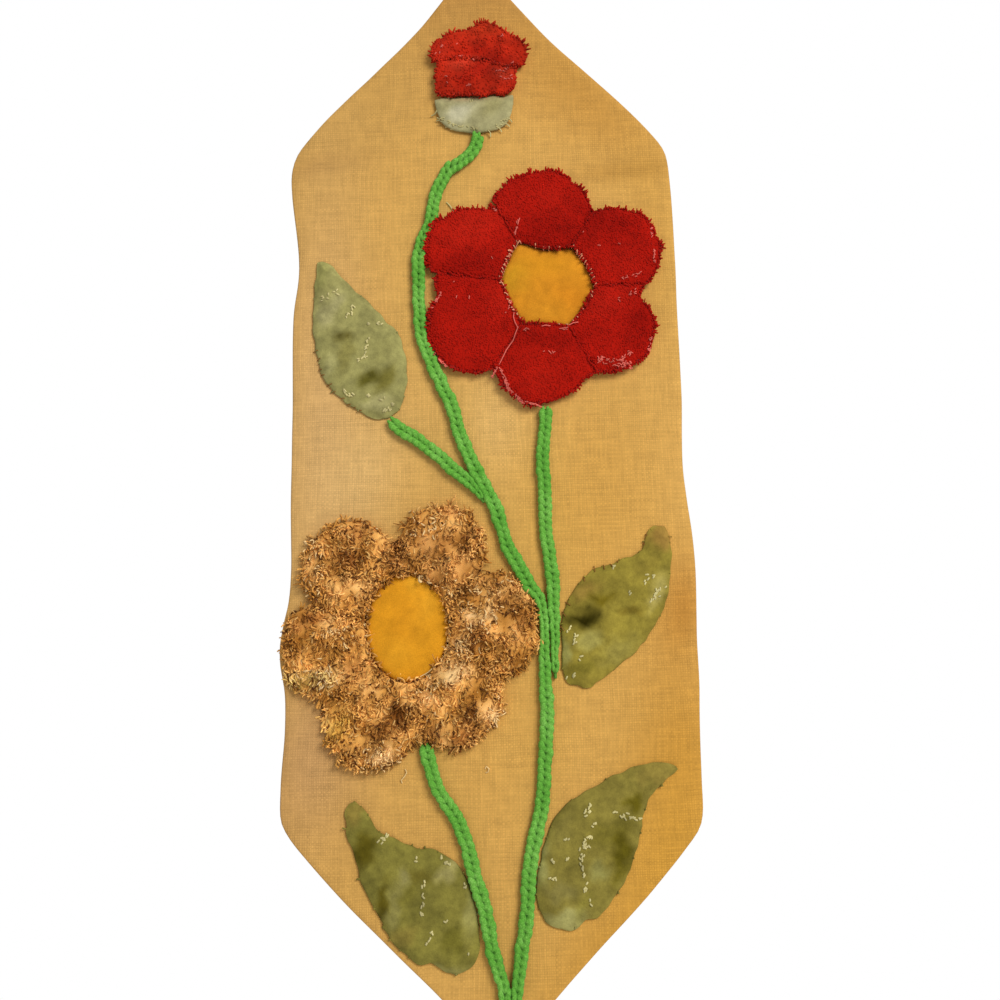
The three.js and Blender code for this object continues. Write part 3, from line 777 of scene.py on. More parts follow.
def worn_through(flecks, spot, pile, inset, rng):
    """Short bits of the backing's thread where the pile is worn through. A fleck is a
    patch and how full it is of them; those less than an inset inside the piece are left out."""
    outline, _ = edge_of(spot)
    insets, _ = within(np.array([row[:2] for row in flecks]), outline)
    bits = []
    for x, z, turn, reach, half, share in (row for row, deep in zip(flecks, insets) if deep > inset):
        for _ in range(max(1, round(BITS * reach * half * share))):
            heading = math.radians(turn)
            go, off = rng.uniform(-reach, reach), rng.uniform(-half, half)
            at_x = x + go * math.cos(heading) - off * math.sin(heading)
            at_z = z + go * math.sin(heading) + off * math.cos(heading)
            heading += rng.gauss(0, 0.6)
            length = rng.uniform(*BIT_LONG)
            bit = []
            for share_along, rise in ((-1, -0.1), (-0.4, 0.35), (0.5, 0.3), (1, -0.2)):
                bit_x = np.array([at_x + length * share_along * math.cos(heading)])
                bit_z = np.array([at_z + length * share_along * math.sin(heading)])
                depth, _ = within(np.column_stack([bit_x, bit_z]), outline)
                level = standing(bit_x, bit_z, np.maximum(depth, 0), pile)
                rise += pile["fleck_rise"]
                bit.append(
                    (float(bit_x[0]), float((drape(bit_x, bit_z) - level)[0]) + rise, float(bit_z[0]))
                )
            bits.append(bit)
    return bits


# ---- The red flower ----
# Six petals of dense short red pile, each cut to a round end and butted together, with
# the pale backing showing along some seams. A yellow velvet heart covers their middle.
RED_MIDDLE = (45, -252.5)
RED_PETALS = [
    # where it points, how far out its round end is centred, that end's radius, the seam
    # on its clockwise side, how far out along it the two petals part, how far along it
    # the heart reaches, and how far the heart's side draws in past that corner
    (92, 49, 36, 57.5, 65, 33.5, 4), (152.5, 57.5, 31, 120, 65, 37.5, -1),
    (211, 56.5, 32.5, 171.5, 76, 31.5, -1), (264, 50.5, 33, 238, 64.5, 32, 1),
    (323, 52, 31.5, 297, 70, 32.5, -1.5), (387.5, 55, 31, 359.5, 65, 33.5, -2),
]
PARTING = 40  # the higher, the sharper the notch where two petals part
# A pile's surface stands rim mm high near its edge and crown mm in the middle. Its tufts
# stand a gap apart, up to deep mm inside the edge, and the rest says how they lean, turn
# and vary and what share of them is planted. Of the four edges, free ones have no neighbour.
# Its body_reach sets how far up the yarn the body's colour is taken: below 1 the body is painted darker,
# as shade between the tufts.
RED_PILE = {
    "rim": 4.8, "crown": 5.3, "lumps": 0.6, "lump_size": 16, "gap": 1.42, "lean": 0.9, "loose": 0.2,
    "combed": 0.15, "spin": 3, "long": (0.9, 1.1), "sunk": 1.7, "uneven": 0.05, "body_reach": 0.95,
    "bare": [], "cover": 1.2, "clumped": 0, "deep": 99, "kinds": 3, "rim_tufts": 2.1, "rim_loose": 0.6,
    "strays": 0.3, "fleck_rise": 0.35, "rim_up": 0.4, "splay": 0.75, "free": (1, 0, 1, 0),
    "shoulder": 15,
}
RED_DYE = "#a71508"
# Lighter and darker patches of the red pile: painted sheen where its nap catches the light, and painted
# shade where it turns away.
RED_SHEEN_AND_SHADE = [
    (-5, -208, 30, 26, 15, "#b92010", 0.85), (-8, -236, 0, 24, 8, "#8b0d04", 0.7),
    (50, -215, 0, 34, 12, "#8b0d04", 0.8), (52, -188, 0, 14, 8, "#ad1b0d", 0.6),
    (88, -206, -30, 30, 9, "#890c04", 0.8), (97, -238, 0, 16, 10, "#a7180a", 0.5),
    (84, -267, 20, 20, 10, "#ad1b0d", 0.8), (108, -280, 80, 24, 10, "#890c04", 0.8),
    (48, -292, 0, 30, 8, "#890d04", 0.8), (39, -317, 60, 16, 12, "#ab1a0b", 0.7),
    (0, -285, 0, 30, 20, "#a61608", 0.5), (15, -262, 90, 14, 10, "#af1d0e", 0.6),
]
# Where the backing's pink thread shows: a patch and how full it is of short bits.
RED_FLECKS = [
    (26.5, -204.5, 70, 2, 0.5, 1.2), (24.5, -214, 70, 5, 0.6, 1.2), (11, -197, 0, 1, 1, 2),
    (30.5, -285, 10, 1.5, 0.5, 2), (56, -285, -8, 2.5, 0.5, 1.5), (18, -270, 70, 6, 1, 0.7),
    (-18, -249.5, 0, 0.6, 0.5, 1), (-16.5, -260.5, 60, 1, 0.5, 1), (-7.5, -260.5, 80, 1.4, 0.4, 3),
    (8, -232.5, 0, 0.6, 0.5, 1), (83, -224.5, 0, 0.8, 0.5, 1), (96, -224, 0, 0.8, 0.5, 1),
    (71, -214, 0, 0.8, 0.5, 1), (104, -247, 15, 7, 1.6, 0.5), (94.5, -264, 80, 1.5, 0.5, 2),
    (103, -260, 30, 5, 1.5, 0.6), (45.5, -301, 0, 3.5, 0.6, 1.6), (90, -309, -12, 12, 2.6, 1.1),
    (98, -304, 40, 5, 1.6, 1), (114, -296, 80, 6, 0.7, 2), (113, -262, -60, 7, 0.7, 2.4),
    (120, -233, 90, 5, 0.7, 2.4), (119, -216, 90, 4, 0.6, 1.6), (15, -319, -70, 8, 0.8, 3.2),
    (22, -331, -45, 8, 0.8, 3.2), (34, -337, -20, 6, 0.7, 2), (66, -327, 30, 12, 0.8, 1.4),
    (-28, -305, -50, 7, 0.7, 1.6), (-14, -316, -15, 9, 0.8, 2), (9, -314, 60, 5, 0.6, 2.4),
    (-30, -262, 60, 7, 0.7, 2), (-33, -243, 80, 5, 0.7, 2), (0, -188, 25, 10, 0.6, 1.2),
]


def after(petals, i):
    """The next petal's row, with its angles counted on from this one's."""
    turn, out, round_end, seam, *rest = petals[(i + 1) % len(petals)]
    lap = 360 if i + 1 == len(petals) else 0
    return (turn + lap, out, round_end, seam + lap, *rest)


def cornered(petals, i, share):
    """The red heart's border between two seams: the angle and how far out it lies."""
    near, far = petals[i], after(petals, i)
    start, end = math.radians(near[3]), math.radians(far[3])
    angle = start + (end - start) * share
    straight = near[5] * far[5] * math.sin(end - start)
    straight = straight / (near[5] * np.sin(angle - start) + far[5] * np.sin(end - angle))
    return angle, straight - near[6] * 4 * share * (1 - share)


def petal(middle, petals, border, i):
    """Where each share across and along a petal lies, from the heart to its round end."""
    turn, out, round_end, _, valley = petals[i][:5]
    next_valley = after(petals, i)[4]

    def spot(across, along):
        angle, reach = border(petals, i, across)
        off = angle - math.radians(turn)
        bow = out * np.cos(off) + np.sqrt(np.maximum(round_end**2 - (out * np.sin(off)) ** 2, 0))
        notch = valley + (next_valley - valley) * across
        end = (bow**PARTING + notch**PARTING) ** (1 / PARTING)
        distance = reach + 2 * GAP + (end - reach - 2 * GAP) * along
        bearing = angle + (1 - 2 * across) * np.arcsin(GAP / distance)
        return middle[0] + distance * np.cos(bearing), middle[1] + distance * np.sin(bearing)

    return spot


red_tufts = bpy.data.collections.new("red_tuft")
tuft(red_tufts, 2.1, 1.65, [(0, 0), (12, 0)], taper=(0.9, 1.05, 0.75))
tuft(red_tufts, 2.2, 1.55, [(5, 3), (14, -6)], taper=(0.9, 1.05, 0.7))
tuft(red_tufts, 2.0, 1.7, [(-4, 5), (6, 12)], taper=(0.9, 1.05, 0.75))

# Acrylic pile, sheared short: a deep warm red, soft and nearly smooth, without shine.
SOFT = {"Roughness": 1.0, "Specular IOR Level": 0.06, "Sheen Weight": 0.03, "Sheen Roughness": 0.5}
crimson = pile_cloth("sheared crimson pile", 0.9, 1.0, 1.1, 7, 0.35, SOFT)
# Cotton sewing thread, twisted: pale and slightly shiny.
thread_look = pile_cloth(
    "twisted cotton sewing thread", 0.9, 1.0, 0.4, 3, 0.2,
    {"Roughness": 0.9, "Specular IOR Level": 0.08},
)
SHELL_DYE = dyeing_and_shading("#d4675a", [], 0, 0.4)
crimson_dye_and_shading = dyeing_and_shading(RED_DYE, RED_SHEEN_AND_SHADE, 3, 0.16)

rng = random.Random(11)
for i in range(len(RED_PETALS)):
    spot = ragged(petal(RED_MIDDLE, RED_PETALS, cornered, i), 3.4, 6, 0.5)
    name = f"red_petal_{i + 1}"
    body = sewn(f"{name}_cloth", name, (13, 10), RED_PILE, spot, crimson_dye_and_shading, "red_pile", crimson)
    roots = tufted(spot, RED_PILE, crimson_dye_and_shading, [], rng)
    extras = [planted(f"{name}_pile", red_tufts, roots, "red_pile", crimson)]
    bits = worn_through(RED_FLECKS, spot, RED_PILE, -0.8, rng)
    if bits:
        extras.append(sewing(f"{name}_flecks", bits, 0.75, SHELL_DYE, "red_pile", thread_look))


# The heart is a flat piece of short yellow velvet. It lies lower than the petals' pile,
# and its cut edge is whipped down with a thread that shows as small pale loops.
HEART_PILE = {"rim": 1.7, "crown": 2.7}
HEART_RINGS = 10
HEART_STEPS = 72  # round the heart
RED_HEART_PATCHES = [
    (22, -246, 60, 14, 9, "#bf921f", 0.6), (64, -262, -40, 16, 10, "#cf7f1c", 0.6),
    (46, -236, 0, 20, 8, "#d8931f", 0.5), (40, -272, 0, 20, 6, "#d59026", 0.4),
]


def heart(name, node_name, middle, petals, border, base, patches, material):
    """A closed, slightly domed piece inside the border of a flower's petals."""
    bm = bmesh.new()
    profile = [bm.verts.new((i / HEART_RINGS, 0, 1)) for i in range(HEART_RINGS + 1)]
    profile += [bm.verts.new((1 - i / HEART_RINGS, 0, 0)) for i in range(HEART_RINGS + 1)]
    edges = [bm.edges.new(pair) for pair in zip(profile, profile[1:])]
    bmesh.ops.spin(
        bm, geom=profile + edges, axis=(0, 0, 1), steps=HEART_STEPS, angle=2 * math.pi, use_merge=True,
    )
    bmesh.ops.remove_doubles(bm, verts=bm.verts[:], dist=1e-5)
    starts = [math.radians(row[3]) for row in petals]
    for vert in bm.verts:
        ring = math.hypot(vert.co.x, vert.co.y)
        bearing = math.atan2(vert.co.y, vert.co.x)
        while bearing < starts[0]:
            bearing += 2 * math.pi
        i = max(j for j, start in enumerate(starts) if start <= bearing + 1e-9)
        start, end = starts[i], math.radians(after(petals, i)[3])
        _, reach = border(petals, i, np.array([(bearing - start) / (end - start)]))
        x = middle[0] + ring * float(reach[0]) * math.cos(bearing)
        z = middle[1] + ring * float(reach[0]) * math.sin(bearing)
        height = HEART_PILE["crown"] + (HEART_PILE["rim"] - HEART_PILE["crown"]) * ring**4
        y = float(drape(x, z)) - GAP - (height if vert.co.z > 0.5 else 0)
        vert.co = Vector((x, y, z)) * MM
    bmesh.ops.recalc_face_normals(bm, faces=bm.faces[:])
    mesh = mesh_of(name, bm)
    places = np.array([vert.co for vert in mesh.vertices]) / MM
    coloured(mesh, dyeing_and_shading(base, patches, 4, 0.12)(places[:, 0], places[:, 2]), 0.9)
    piece = shown(name, mesh, "yellow_velvet", material)
    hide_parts(node_name)
    return piece


def whipped(middle, petals, border, stretches, off, rng):
    """Loops of thread over a heart's edge, along stretches from one bearing to another."""
    loops = []
    for first, last, gap in stretches:
        bearing = first
        while bearing < last:
            turned = bearing if bearing >= petals[0][3] else bearing + 360
            i = max(j for j, row in enumerate(petals) if row[3] <= turned)
            start, end = petals[i][3], after(petals, i)[3]
            _, reach = border(petals, i, np.array([(turned - start) / (end - start)]))
            reach = float(reach[0]) + rng.uniform(-0.3, 0.4)
            loop = []
            slant, long = rng.gauss(0, 2.5), rng.uniform(1.2, 2.2)
            for share in np.linspace(0, 1, 5):
                way = math.radians(turned + slant * share)
                distance = reach - 0.6 + long * share
                high = off[0] + (off[1] - off[0]) * share + 0.9 * math.sin(math.pi * share)
                loop.append(
                    (middle[0] + distance * math.cos(way), high, middle[1] + distance * math.sin(way))
                )
            loops.append(loop)
            bearing += gap * rng.uniform(0.4, 1.7)
    return loops


# Cotton velvet, woven and cut very short: deep yellow and matt. Its unevenly brushed nap is painted as
# blotches of sheen and shade.
velvet = pile_cloth("short yellow cotton velvet", 0.9, 1.0, 0.9, 6, 0.45, SOFT)
red_heart = heart(
    "red_heart", "red_flower_heart", RED_MIDDLE, RED_PETALS, cornered, "#cb8520", RED_HEART_PATCHES,
    velvet,
)
rng = random.Random(17)
loops = whipped(
    RED_MIDDLE, RED_PETALS, cornered,
    [(-20, 8, 6), (14, 50, 4), (56, 112, 9), (118, 176, 3), (176, 235, 4), (285, 330, 8)], (3.2, 6.2),
    rng,
)
red_loops = sewing(
    "red_heart_loops", loops, 0.85, dyeing_and_shading("#dd9270", [], 0, 0.3), "yellow_velvet", thread_look,
)
# The two seams that gape, and the loose stitches under the heart, show the pink backing.
seam_lines = [
    [(25, 6.6, -283), (23, 7, -288), (21.5, 7, -292.5), (19, 6.8, -296), (16.5, 6.4, -299.5)],
    [(16.5, 6.4, -299.5), (15, 6, -302.5), (13.2, 5.4, -306), (11.5, 4.8, -309)],
    [(22.5, 6, -272.5), (22, 6.4, -276), (23, 6.6, -280), (25, 6.8, -284)],
    [(28.5, 6.6, -285.5), (30.5, 7, -284), (32.5, 6.7, -285)],
    [(41, 6.2, -282.5), (44, 6.6, -282), (47, 6.2, -282.5)],
    [(53, 6.1, -284.5), (56.5, 6.4, -284), (59, 6.1, -283.5)],
    [(59.5, 6, -282), (62.5, 6.3, -280.5), (66, 6, -280)],
    [(28, 6.2, -203.5), (27, 6.6, -206), (26.5, 6.4, -208.5)],
    [(25.8, 6.3, -210), (25, 6.6, -213), (24.5, 6.4, -216)],
]
sewing("red_seam_threads", seam_lines, 0.8, SHELL_DYE, "red_pile", thread_look)

# ---- The brown flower ----
# Six petals of a deeper pile of curled yarn ends, mottled from dark brown to cream, which
# fall every way and hide the seams. Its oval heart is the same velvet as the red one's.
BROWN_MIDDLE = (-51, -483.5)
BROWN_PETALS = [
    # the first five columns of the red petals' table
    (66.5, 54.5, 28.5, 34.5, 61), (133.5, 52.5, 31.5, 97, 52), (195, 48, 34.5, 168, 62.5),
    (247.5, 63.5, 29.5, 221.5, 69.5), (303, 54.5, 30, 278, 72.5), (360, 48, 36, 333, 67.5),
]
OVAL_HALF, OVAL_TALL = 27, 34.5
BROWN_SMOOTH = [
    # patches where the pile is soft and its ends lie straight
    (-28, -430, 0, 8, 6), (-38, -428, 80, 7, 4), (-32, -449, 10, 11, 4.5), (-13, -445, 0, 6, 5),
    (-119, -487, 0, 6, 5), (-77, -522, 0, 6, 5), (-27, -553, 0, 5, 5), (-2.5, -537, 60, 5, 4.5),
    (-104, -515, 0, 8, 4.5), (-24, -514, 20, 11, 5), (-4, -476, 20, 9, 4.5), (-40, -531, 0, 7, 6),
    (-88, -456, 0, 9, 5), (-84, -500, 30, 6, 5), (14, -478, 60, 6, 4), (-60, -556, 0, 6, 4),
    (-112, -466, 0, 6, 4),
]
BROWN_PILE = {
    **RED_PILE, "rim": 3.4, "crown": 5.6, "lumps": 2.4, "lump_size": 8, "lean": 0.8, "loose": 0.45,
    "combed": 1.1, "spin": 0.9, "long": (0.75, 1.2), "sunk": 1.2, "uneven": 0.18, "body_reach": 0.8,
    "bare": BROWN_SMOOTH, "cover": 0.95, "clumped": 0.6, "kinds": 6, "rim_tufts": 1.3, "rim_loose": 0.8,
    "strays": 0.12, "rim_up": 0.7, "splay": 0.8, "free": (1, 1, 1, 1),
}
COFFEE = "#763d0f"
CHESTNUT = "#92521f"
TAN = "#d89d4e"
SAND = "#e5b068"
STRAW = "#ecca74"
HAZEL = "#b0773a"
CREAM = "#f0ca8c"
BROWN_PATCHES = [
    (-30, -432, 0, 34, 30, HAZEL, 0.45), (-85, -421, 0, 13, 7, CHESTNUT, 0.7),
    (-90, -437, 20, 12, 8, CHESTNUT, 0.8), (-88, -457, 0, 14, 8, SAND, 0.6),
    (-112, -438, 90, 16, 6, SAND, 0.7), (-58, -436, 90, 12, 8, CHESTNUT, 0.6),
    (-113, -478, 10, 14, 6, CHESTNUT, 0.8), (-100, -482, 0, 8, 7, SAND, 0.8),
    (-118, -488, 0, 8, 6, TAN, 0.8), (-121, -515, 0, 12, 6, STRAW, 0.8),
    (-104, -514.5, 0, 9, 5, "#ffdf91", 0.9), (-93, -497, 0, 12, 7, TAN, 0.6),
    (-77, -522, 0, 8, 7, SAND, 0.9), (-86, -507, 30, 10, 5, CHESTNUT, 0.7),
    (-58, -538, 70, 12, 7, COFFEE, 0.8), (-68, -547, 20, 10, 6, CHESTNUT, 0.6),
    (-67, -562, 10, 10, 6, CREAM, 0.75), (-95, -543, 60, 14, 7, "#d9aa49", 0.7),
    (-10, -539, 60, 7, 5, COFFEE, 0.85), (-15, -552, 20, 8, 6, CHESTNUT, 0.8),
    (-36, -548, 10, 9, 5, COFFEE, 0.7), (-27, -553, 0, 6, 5, SAND, 0.9), (-2, -537, 60, 7, 5, SAND, 0.9),
    (-23, -514, 20, 13, 6, CREAM, 0.9), (-39, -530, 0, 10, 7, SAND, 0.7),
    (4, -542, 90, 8, 4, CREAM, 0.7), (-10, -483, 60, 9, 6, COFFEE, 0.7),
    (-4, -491, 0, 7, 5, CHESTNUT, 0.7), (-3, -476, 20, 11, 5, CREAM, 0.8),
    (-16.5, -497, 80, 7, 5, CREAM, 0.85), (3, -458, 0, 14, 7, SAND, 0.7),
    (-14, -460, 20, 8, 5, COFFEE, 0.6), (20, -482, 90, 16, 7, CHESTNUT, 0.5),
    (12, -463, -20, 14, 8, SAND, 0.8), (-38, -428, 70, 12, 8, HAZEL, 0.8),
    (-11, -426, 80, 9, 4, COFFEE, 0.8), (-35, -417, 10, 10, 5, TAN, 0.6),
    (-23, -409, 10, 10, 4, CHESTNUT, 0.5), (-29, -430, 0, 12, 8, HAZEL, 0.8),
    (-31, -450, 10, 14, 6, HAZEL, 0.8), (-12, -445, 0, 9, 6, HAZEL, 0.8),
]
BROWN_FLECKS = [
    (-50, -483, 0, 110, 110, "#dfae66", 0.12), (-50, -483, 0, 110, 110, "#6b401a", 0.1),
    (-112, -438, 90, 18, 7, CREAM, 0.25), (-99, -483, 0, 8, 7, CREAM, 0.35),
    (-104, -514, 0, 10, 5, "#e0c08c", 0.4), (-66, -562, 10, 12, 6, CREAM, 0.3),
    (-36, -417, 10, 14, 6, CREAM, 0.35), (-40, -452, -30, 9, 3, CREAM, 0.5),
    (-4, -463, 20, 12, 6, CREAM, 0.4), (-1, -478, 20, 16, 8, CREAM, 0.25),
    (-16, -498, 80, 8, 5, CREAM, 0.3), (-35, -520, 20, 14, 8, CREAM, 0.2),
    (5, -540, 90, 10, 4, CREAM, 0.4), (-120, -512, 0, 16, 8, CREAM, 0.2),
]


def oval(petals, i, share):
    """The oval heart's border between two seams: the angle and how far out it lies."""
    start, end = math.radians(petals[i][3]), math.radians(after(petals, i)[3])
    angle = start + (end - start) * share
    reach = np.hypot(OVAL_TALL * np.cos(angle), OVAL_HALF * np.sin(angle))
    return angle, OVAL_HALF * OVAL_TALL / reach


brown_tufts = bpy.data.collections.new("brown_tuft")
for length, thick, bends in (
    (5.6, 1.4, [(20, 0), (28, 0), (28, 6), (26, 0)]),
    (6.6, 1.25, [(24, 10), (36, 0), (10, 24), (-30, 10)]),
    (5.2, 1.5, [(30, 0), (24, -14), (20, -14), (10, 0)]),
    (7.0, 1.25, [(16, 0), (30, 12), (36, 12), (30, 0)]),
    (5.6, 1.35, [(34, 10), (24, 0), (-20, 10), (-34, 0)]),
    (6.2, 1.3, [(20, -14), (38, 0), (38, 10), (24, 10)]),
):
    tuft(brown_tufts, length, thick, bends, sides=3, taper=(0.85, 1.05, 1.0, 0.6))

# Wool and acrylic yarn ends, crimped: each of one shade, from coffee brown to cream.
mottled = pile_cloth("curled yarn pile, mottled brown", 0.75, 1.2, 0.9, 6, 0.5, SOFT)


def mottled_dye(x, z):
    """The colours of the yarn ends, made darker and redder in some soft clouds and lighter in others."""
    clouds = cloudy(x, z, 11, 7.5) + 0.9 * cloudy(x, z, 4.5, 8.5)
    shade = np.clip(1 + 0.24 * clouds, 0.78, 1.25)[:, None]
    level = np.clip(1 + 0.4 * clouds, 0.55, 1.28)[:, None]
    return level * dyeing_and_shading(TAN, BROWN_PATCHES, 4, 0, firm=1)(x, z) ** (1 / shade)


rng = random.Random(23)
for i in range(len(BROWN_PETALS)):
    spot = ragged(petal(BROWN_MIDDLE, BROWN_PETALS, oval, i), 3.2, 6, 0.3)
    name = f"brown_petal_{i + 1}"
    body = sewn(f"{name}_cloth", name, (16, 13), BROWN_PILE, spot, mottled_dye, "brown_pile", mottled)
    roots = tufted(spot, BROWN_PILE, mottled_dye, BROWN_FLECKS, rng)
    tufts = planted(f"{name}_pile", brown_tufts, roots, "brown_pile", mottled)

BROWN_HEART_PATCHES = [
    (-52, -480, 80, 20, 12, "#d08a1c", 0.7), (-38, -468, 60, 14, 8, "#e0a02a", 0.5),
    (-60, -500, 30, 14, 10, "#dd9c26", 0.5), (-44, -452, 0, 10, 6, "#e0a62e", 0.5),
]
brown_heart = heart(
    "brown_heart", "brown_flower_heart", BROWN_MIDDLE, BROWN_PETALS, oval, "#d9941f",
    BROWN_HEART_PATCHES, velvet,
)
loops = whipped(
    BROWN_MIDDLE, BROWN_PETALS, oval, [(-25, 12, 5), (55, 80, 6), (150, 215, 8), (290, 330, 7)],
    (2.4, 4.4), rng,
)
loops += [
    [(-31, 3.4, -505), (-34, 3.6, -509), (-38, 3.5, -512.5), (-43, 3.4, -515)],
    [(-53, 0.6, -572.5), (-52, 1.4, -574.5), (-53.5, 1.8, -577), (-55.5, 1.2, -579), (-55, 0.5, -581)],
    [(-46.5, 0.6, -408), (-48, 1.6, -406.5), (-50, 1.2, -407.5)],
    [(-2.5, 0.5, -573), (-1.5, 1.3, -571.5), (0, 1.3, -573), (-0.5, 0.8, -575), (-2, 0.4, -575.5)],
]
brown_loops = sewing(
    "brown_heart_loops", loops, 0.8, dyeing_and_shading("#e6c68a", [], 0, 0.2), "yellow_velvet", thread_look,
)

# ---- The bud ----
# Two ragged tiers of the red pile, the upper over the lower, in a rounded calyx of pale
# green velvet whose lower edge is frayed to cream threads.
BUD = {
    # x, top, bottom from left to right
    "bud_upper": [
        (-31.5, -70, -80.5), (-24, -63.5, -79.5), (-13, -59.5, -79), (-3, -57.5, -79.5), (6, -54, -81.5),
        (14, -56.5, -84.5), (24, -64, -86.5), (32, -68, -84.5), (35.5, -73, -79.5),
    ],
    "bud_lower": [
        (-28.5, -83, -105.5), (-24, -81.5, -108), (-13, -81, -108.5), (-3, -81.5, -108.5),
        (6, -83.5, -108.5), (14, -86.5, -107.5), (22, -88.5, -107), (27, -88, -103),
    ],
    "bud_calyx": [
        (-29.5, -110, -119), (-25, -109.5, -128), (-16, -109.5, -134), (-5, -109.5, -136.5),
        (5, -109.5, -136), (15, -109, -133.5), (21.5, -108.5, -129), (25, -108.5, -118),
    ],
}
BUD_PILE = {
    **RED_PILE, "rim": 5.2, "crown": 5.8, "lumps": 2.4, "lump_size": 7, "lean": 1.2, "loose": 0.45,
    "combed": 0.4, "spin": 2, "long": (0.95, 1.25), "sunk": 1.75, "rim_tufts": 2.6, "rim_loose": 0.7,
    "strays": 0.25, "splay": 1.1, "free": (1, 1, 1, 1),
}
# Velvet's nap is too short for tufts of its own, but along its cut edge it is frayed.
VELVET_PILE = {
    **RED_PILE, "rim": 1, "crown": 3.6, "lumps": 0.9, "lump_size": 9, "gap": 1.4, "lean": 1.4,
    "loose": 0.3, "combed": 0, "long": (0.5, 0.9), "sunk": 1.5, "deep": 0, "rim_tufts": 0.1,
    "fleck_rise": 0.05, "rim_up": 1, "splay": 0.6, "free": (1, 1, 1, 1), "shoulder": 9,
}
# Lighter and darker patches on the bud's pile: painted highlights, and painted shade, mostly along the
# join of its two tiers.
BUD_HIGHLIGHTS_AND_SHADE = [
    (6, -59, 0, 16, 6, "#b53216", 0.8), (0, -75, 0, 16, 4, "#941507", 0.8),
    (15, -82, -10, 14, 3.5, "#8f1307", 0.8), (-10, -85, 10, 10, 4, "#b73722", 0.8),
    (3, -91, 30, 8, 5, "#941307", 0.7), (-10, -98, 0, 6, 5, "#961407", 0.6),
    (19, -92, 0, 8, 4, "#b73a24", 0.7), (-25, -75, 60, 10, 5, "#ad2916", 0.6),
]
BUD_FLECKS = [
    (-11, -79, 0, 1, 0.5, 2), (-2.5, -82.5, 0, 0.6, 0.6, 3), (-6, -102, 0, 1.2, 0.5, 4),
    (-21.5, -95, 0, 0.8, 0.5, 2), (-22, -100, 0, 0.8, 0.5, 2), (18.5, -64, 60, 1.5, 0.5, 2),
    (18, -91.5, 20, 5, 1, 0.8), (21, -97, 0, 4, 1.5, 0.6), (26, -85, 0, 1, 1, 1.5),
    (-26, -74, 50, 5, 1, 0.6), (-14.5, -69.5, 0, 0.8, 0.5, 1),
]
CALYX_PATCHES = [
    (-13, -122, 35, 12, 7, "#c0ba98", 0.9), (11, -117, 30, 12, 7, "#98905e", 0.8),
    (-25, -116, 0, 6, 5, "#989062", 0.5), (3, -132, 0, 12, 4, "#a39c6e", 0.4),
    (-2, -109.5, 0, 26, 2, "#9f7655", 0.4),
]
CALYX_FLECKS = [
    (-22, -128, -35, 8, 1.2, 0.9), (-8, -133, -10, 8, 1.2, 0.9), (18, -129, 35, 6, 1.2, 0.8),
    (-3, -112, 40, 2, 0.5, 2),
]


def tier(rows):
    """Where each share across and along a bud tier lies."""

    def spot(across, along):
        x, top, bottom = smooth(rows, across).T
        return x, bottom + (top - bottom) * along

    return spot


# The same pile in a brighter red, and cotton velvet worn thin: pale sage over cream.
scarlet = pile_cloth("ragged scarlet pile", 0.9, 1.05, 1.1, 5, 0.6, SOFT)
pale_sage = pile_cloth("worn pale velvet", 0.95, 1.0, 0.8, 6, 1.0, SOFT)
# The bud's clouds are painted light and shade of its clumps.
scarlet_dye_and_shading = dyeing_and_shading("#ae2510", BUD_HIGHLIGHTS_AND_SHADE, 3, 0.4)
calyx_dye = dyeing_and_shading("#9f986c", CALYX_PATCHES, 3, 0.12, firm=1)
CREAM_DYE = dyeing_and_shading("#c4b981", [], 0, 0.35)

rng = random.Random(31)
for name, pile, slot, material, dye, flecks, bit_dye, flat_size, area in (
    (
        "bud_upper", BUD_PILE, "red_pile", scarlet, scarlet_dye_and_shading, BUD_FLECKS, SHELL_DYE, (0.069, 0.031),
        0.0015,
    ),
    (
        "bud_lower", {**BUD_PILE, "free": (1, 1, 0, 1)}, "red_pile", scarlet, scarlet_dye_and_shading, BUD_FLECKS,
        SHELL_DYE, (0.058, 0.028), 0.0014,
    ),
    (
        "bud_calyx", {**VELVET_PILE, "rim": 2.4, "shoulder": 4}, "sage_pile", pale_sage, calyx_dye,
        CALYX_FLECKS, CREAM_DYE, (0.057, 0.029), 0.0013,
    ),
):
    spot = ragged(tier(BUD[name]), 1.6, 6)
    body = sewn(f"{name}_cloth", name, (20, 9), pile, spot, dye, slot, material)
    roots = tufted(spot, pile, dye, [], rng)
    extras = [planted(f"{name}_pile", red_tufts, roots, slot, material)]
    bits = worn_through(flecks, spot, pile, 0, rng)
    extras.append(sewing(f"{name}_flecks", bits, 0.8, bit_dye, slot, thread_look))

# At its sides the upper tier's longest ends stick out over the cloth.
ends = [
    ((x, -4.4 + float(drape(x, z)), z), upright((go_x, -0.35, go_z), spin), (0.8, 0.8, long), 0, end)
    for (x, z, go_x, go_z, spin, long), end in zip(
        (
            (-31, -76.5, -1, -0.25, 0, 2.1), (-31, -78, -1, -0.1, 1, 1.6), (-32, -74.5, -1, 0.2, 2, 1.5),
            (34.5, -71, 1, 0.5, 0, 1.7), (35, -74, 1, 0.05, 1, 2), (34.5, -77, 1, -0.2, 2, 1.6),
            (-25, -84, -1, 0.2, 1, 1.5), (-22, -65, -0.5, 1, 1, 1.5),
        ),
        scarlet_dye_and_shading(np.array([-31, -31, -32, 34, 35, 34, -27, -22]), np.full(8, -75)) * 0.8,
    )
]
planted("bud_long_ends", red_tufts, ends, "red_pile", scarlet)

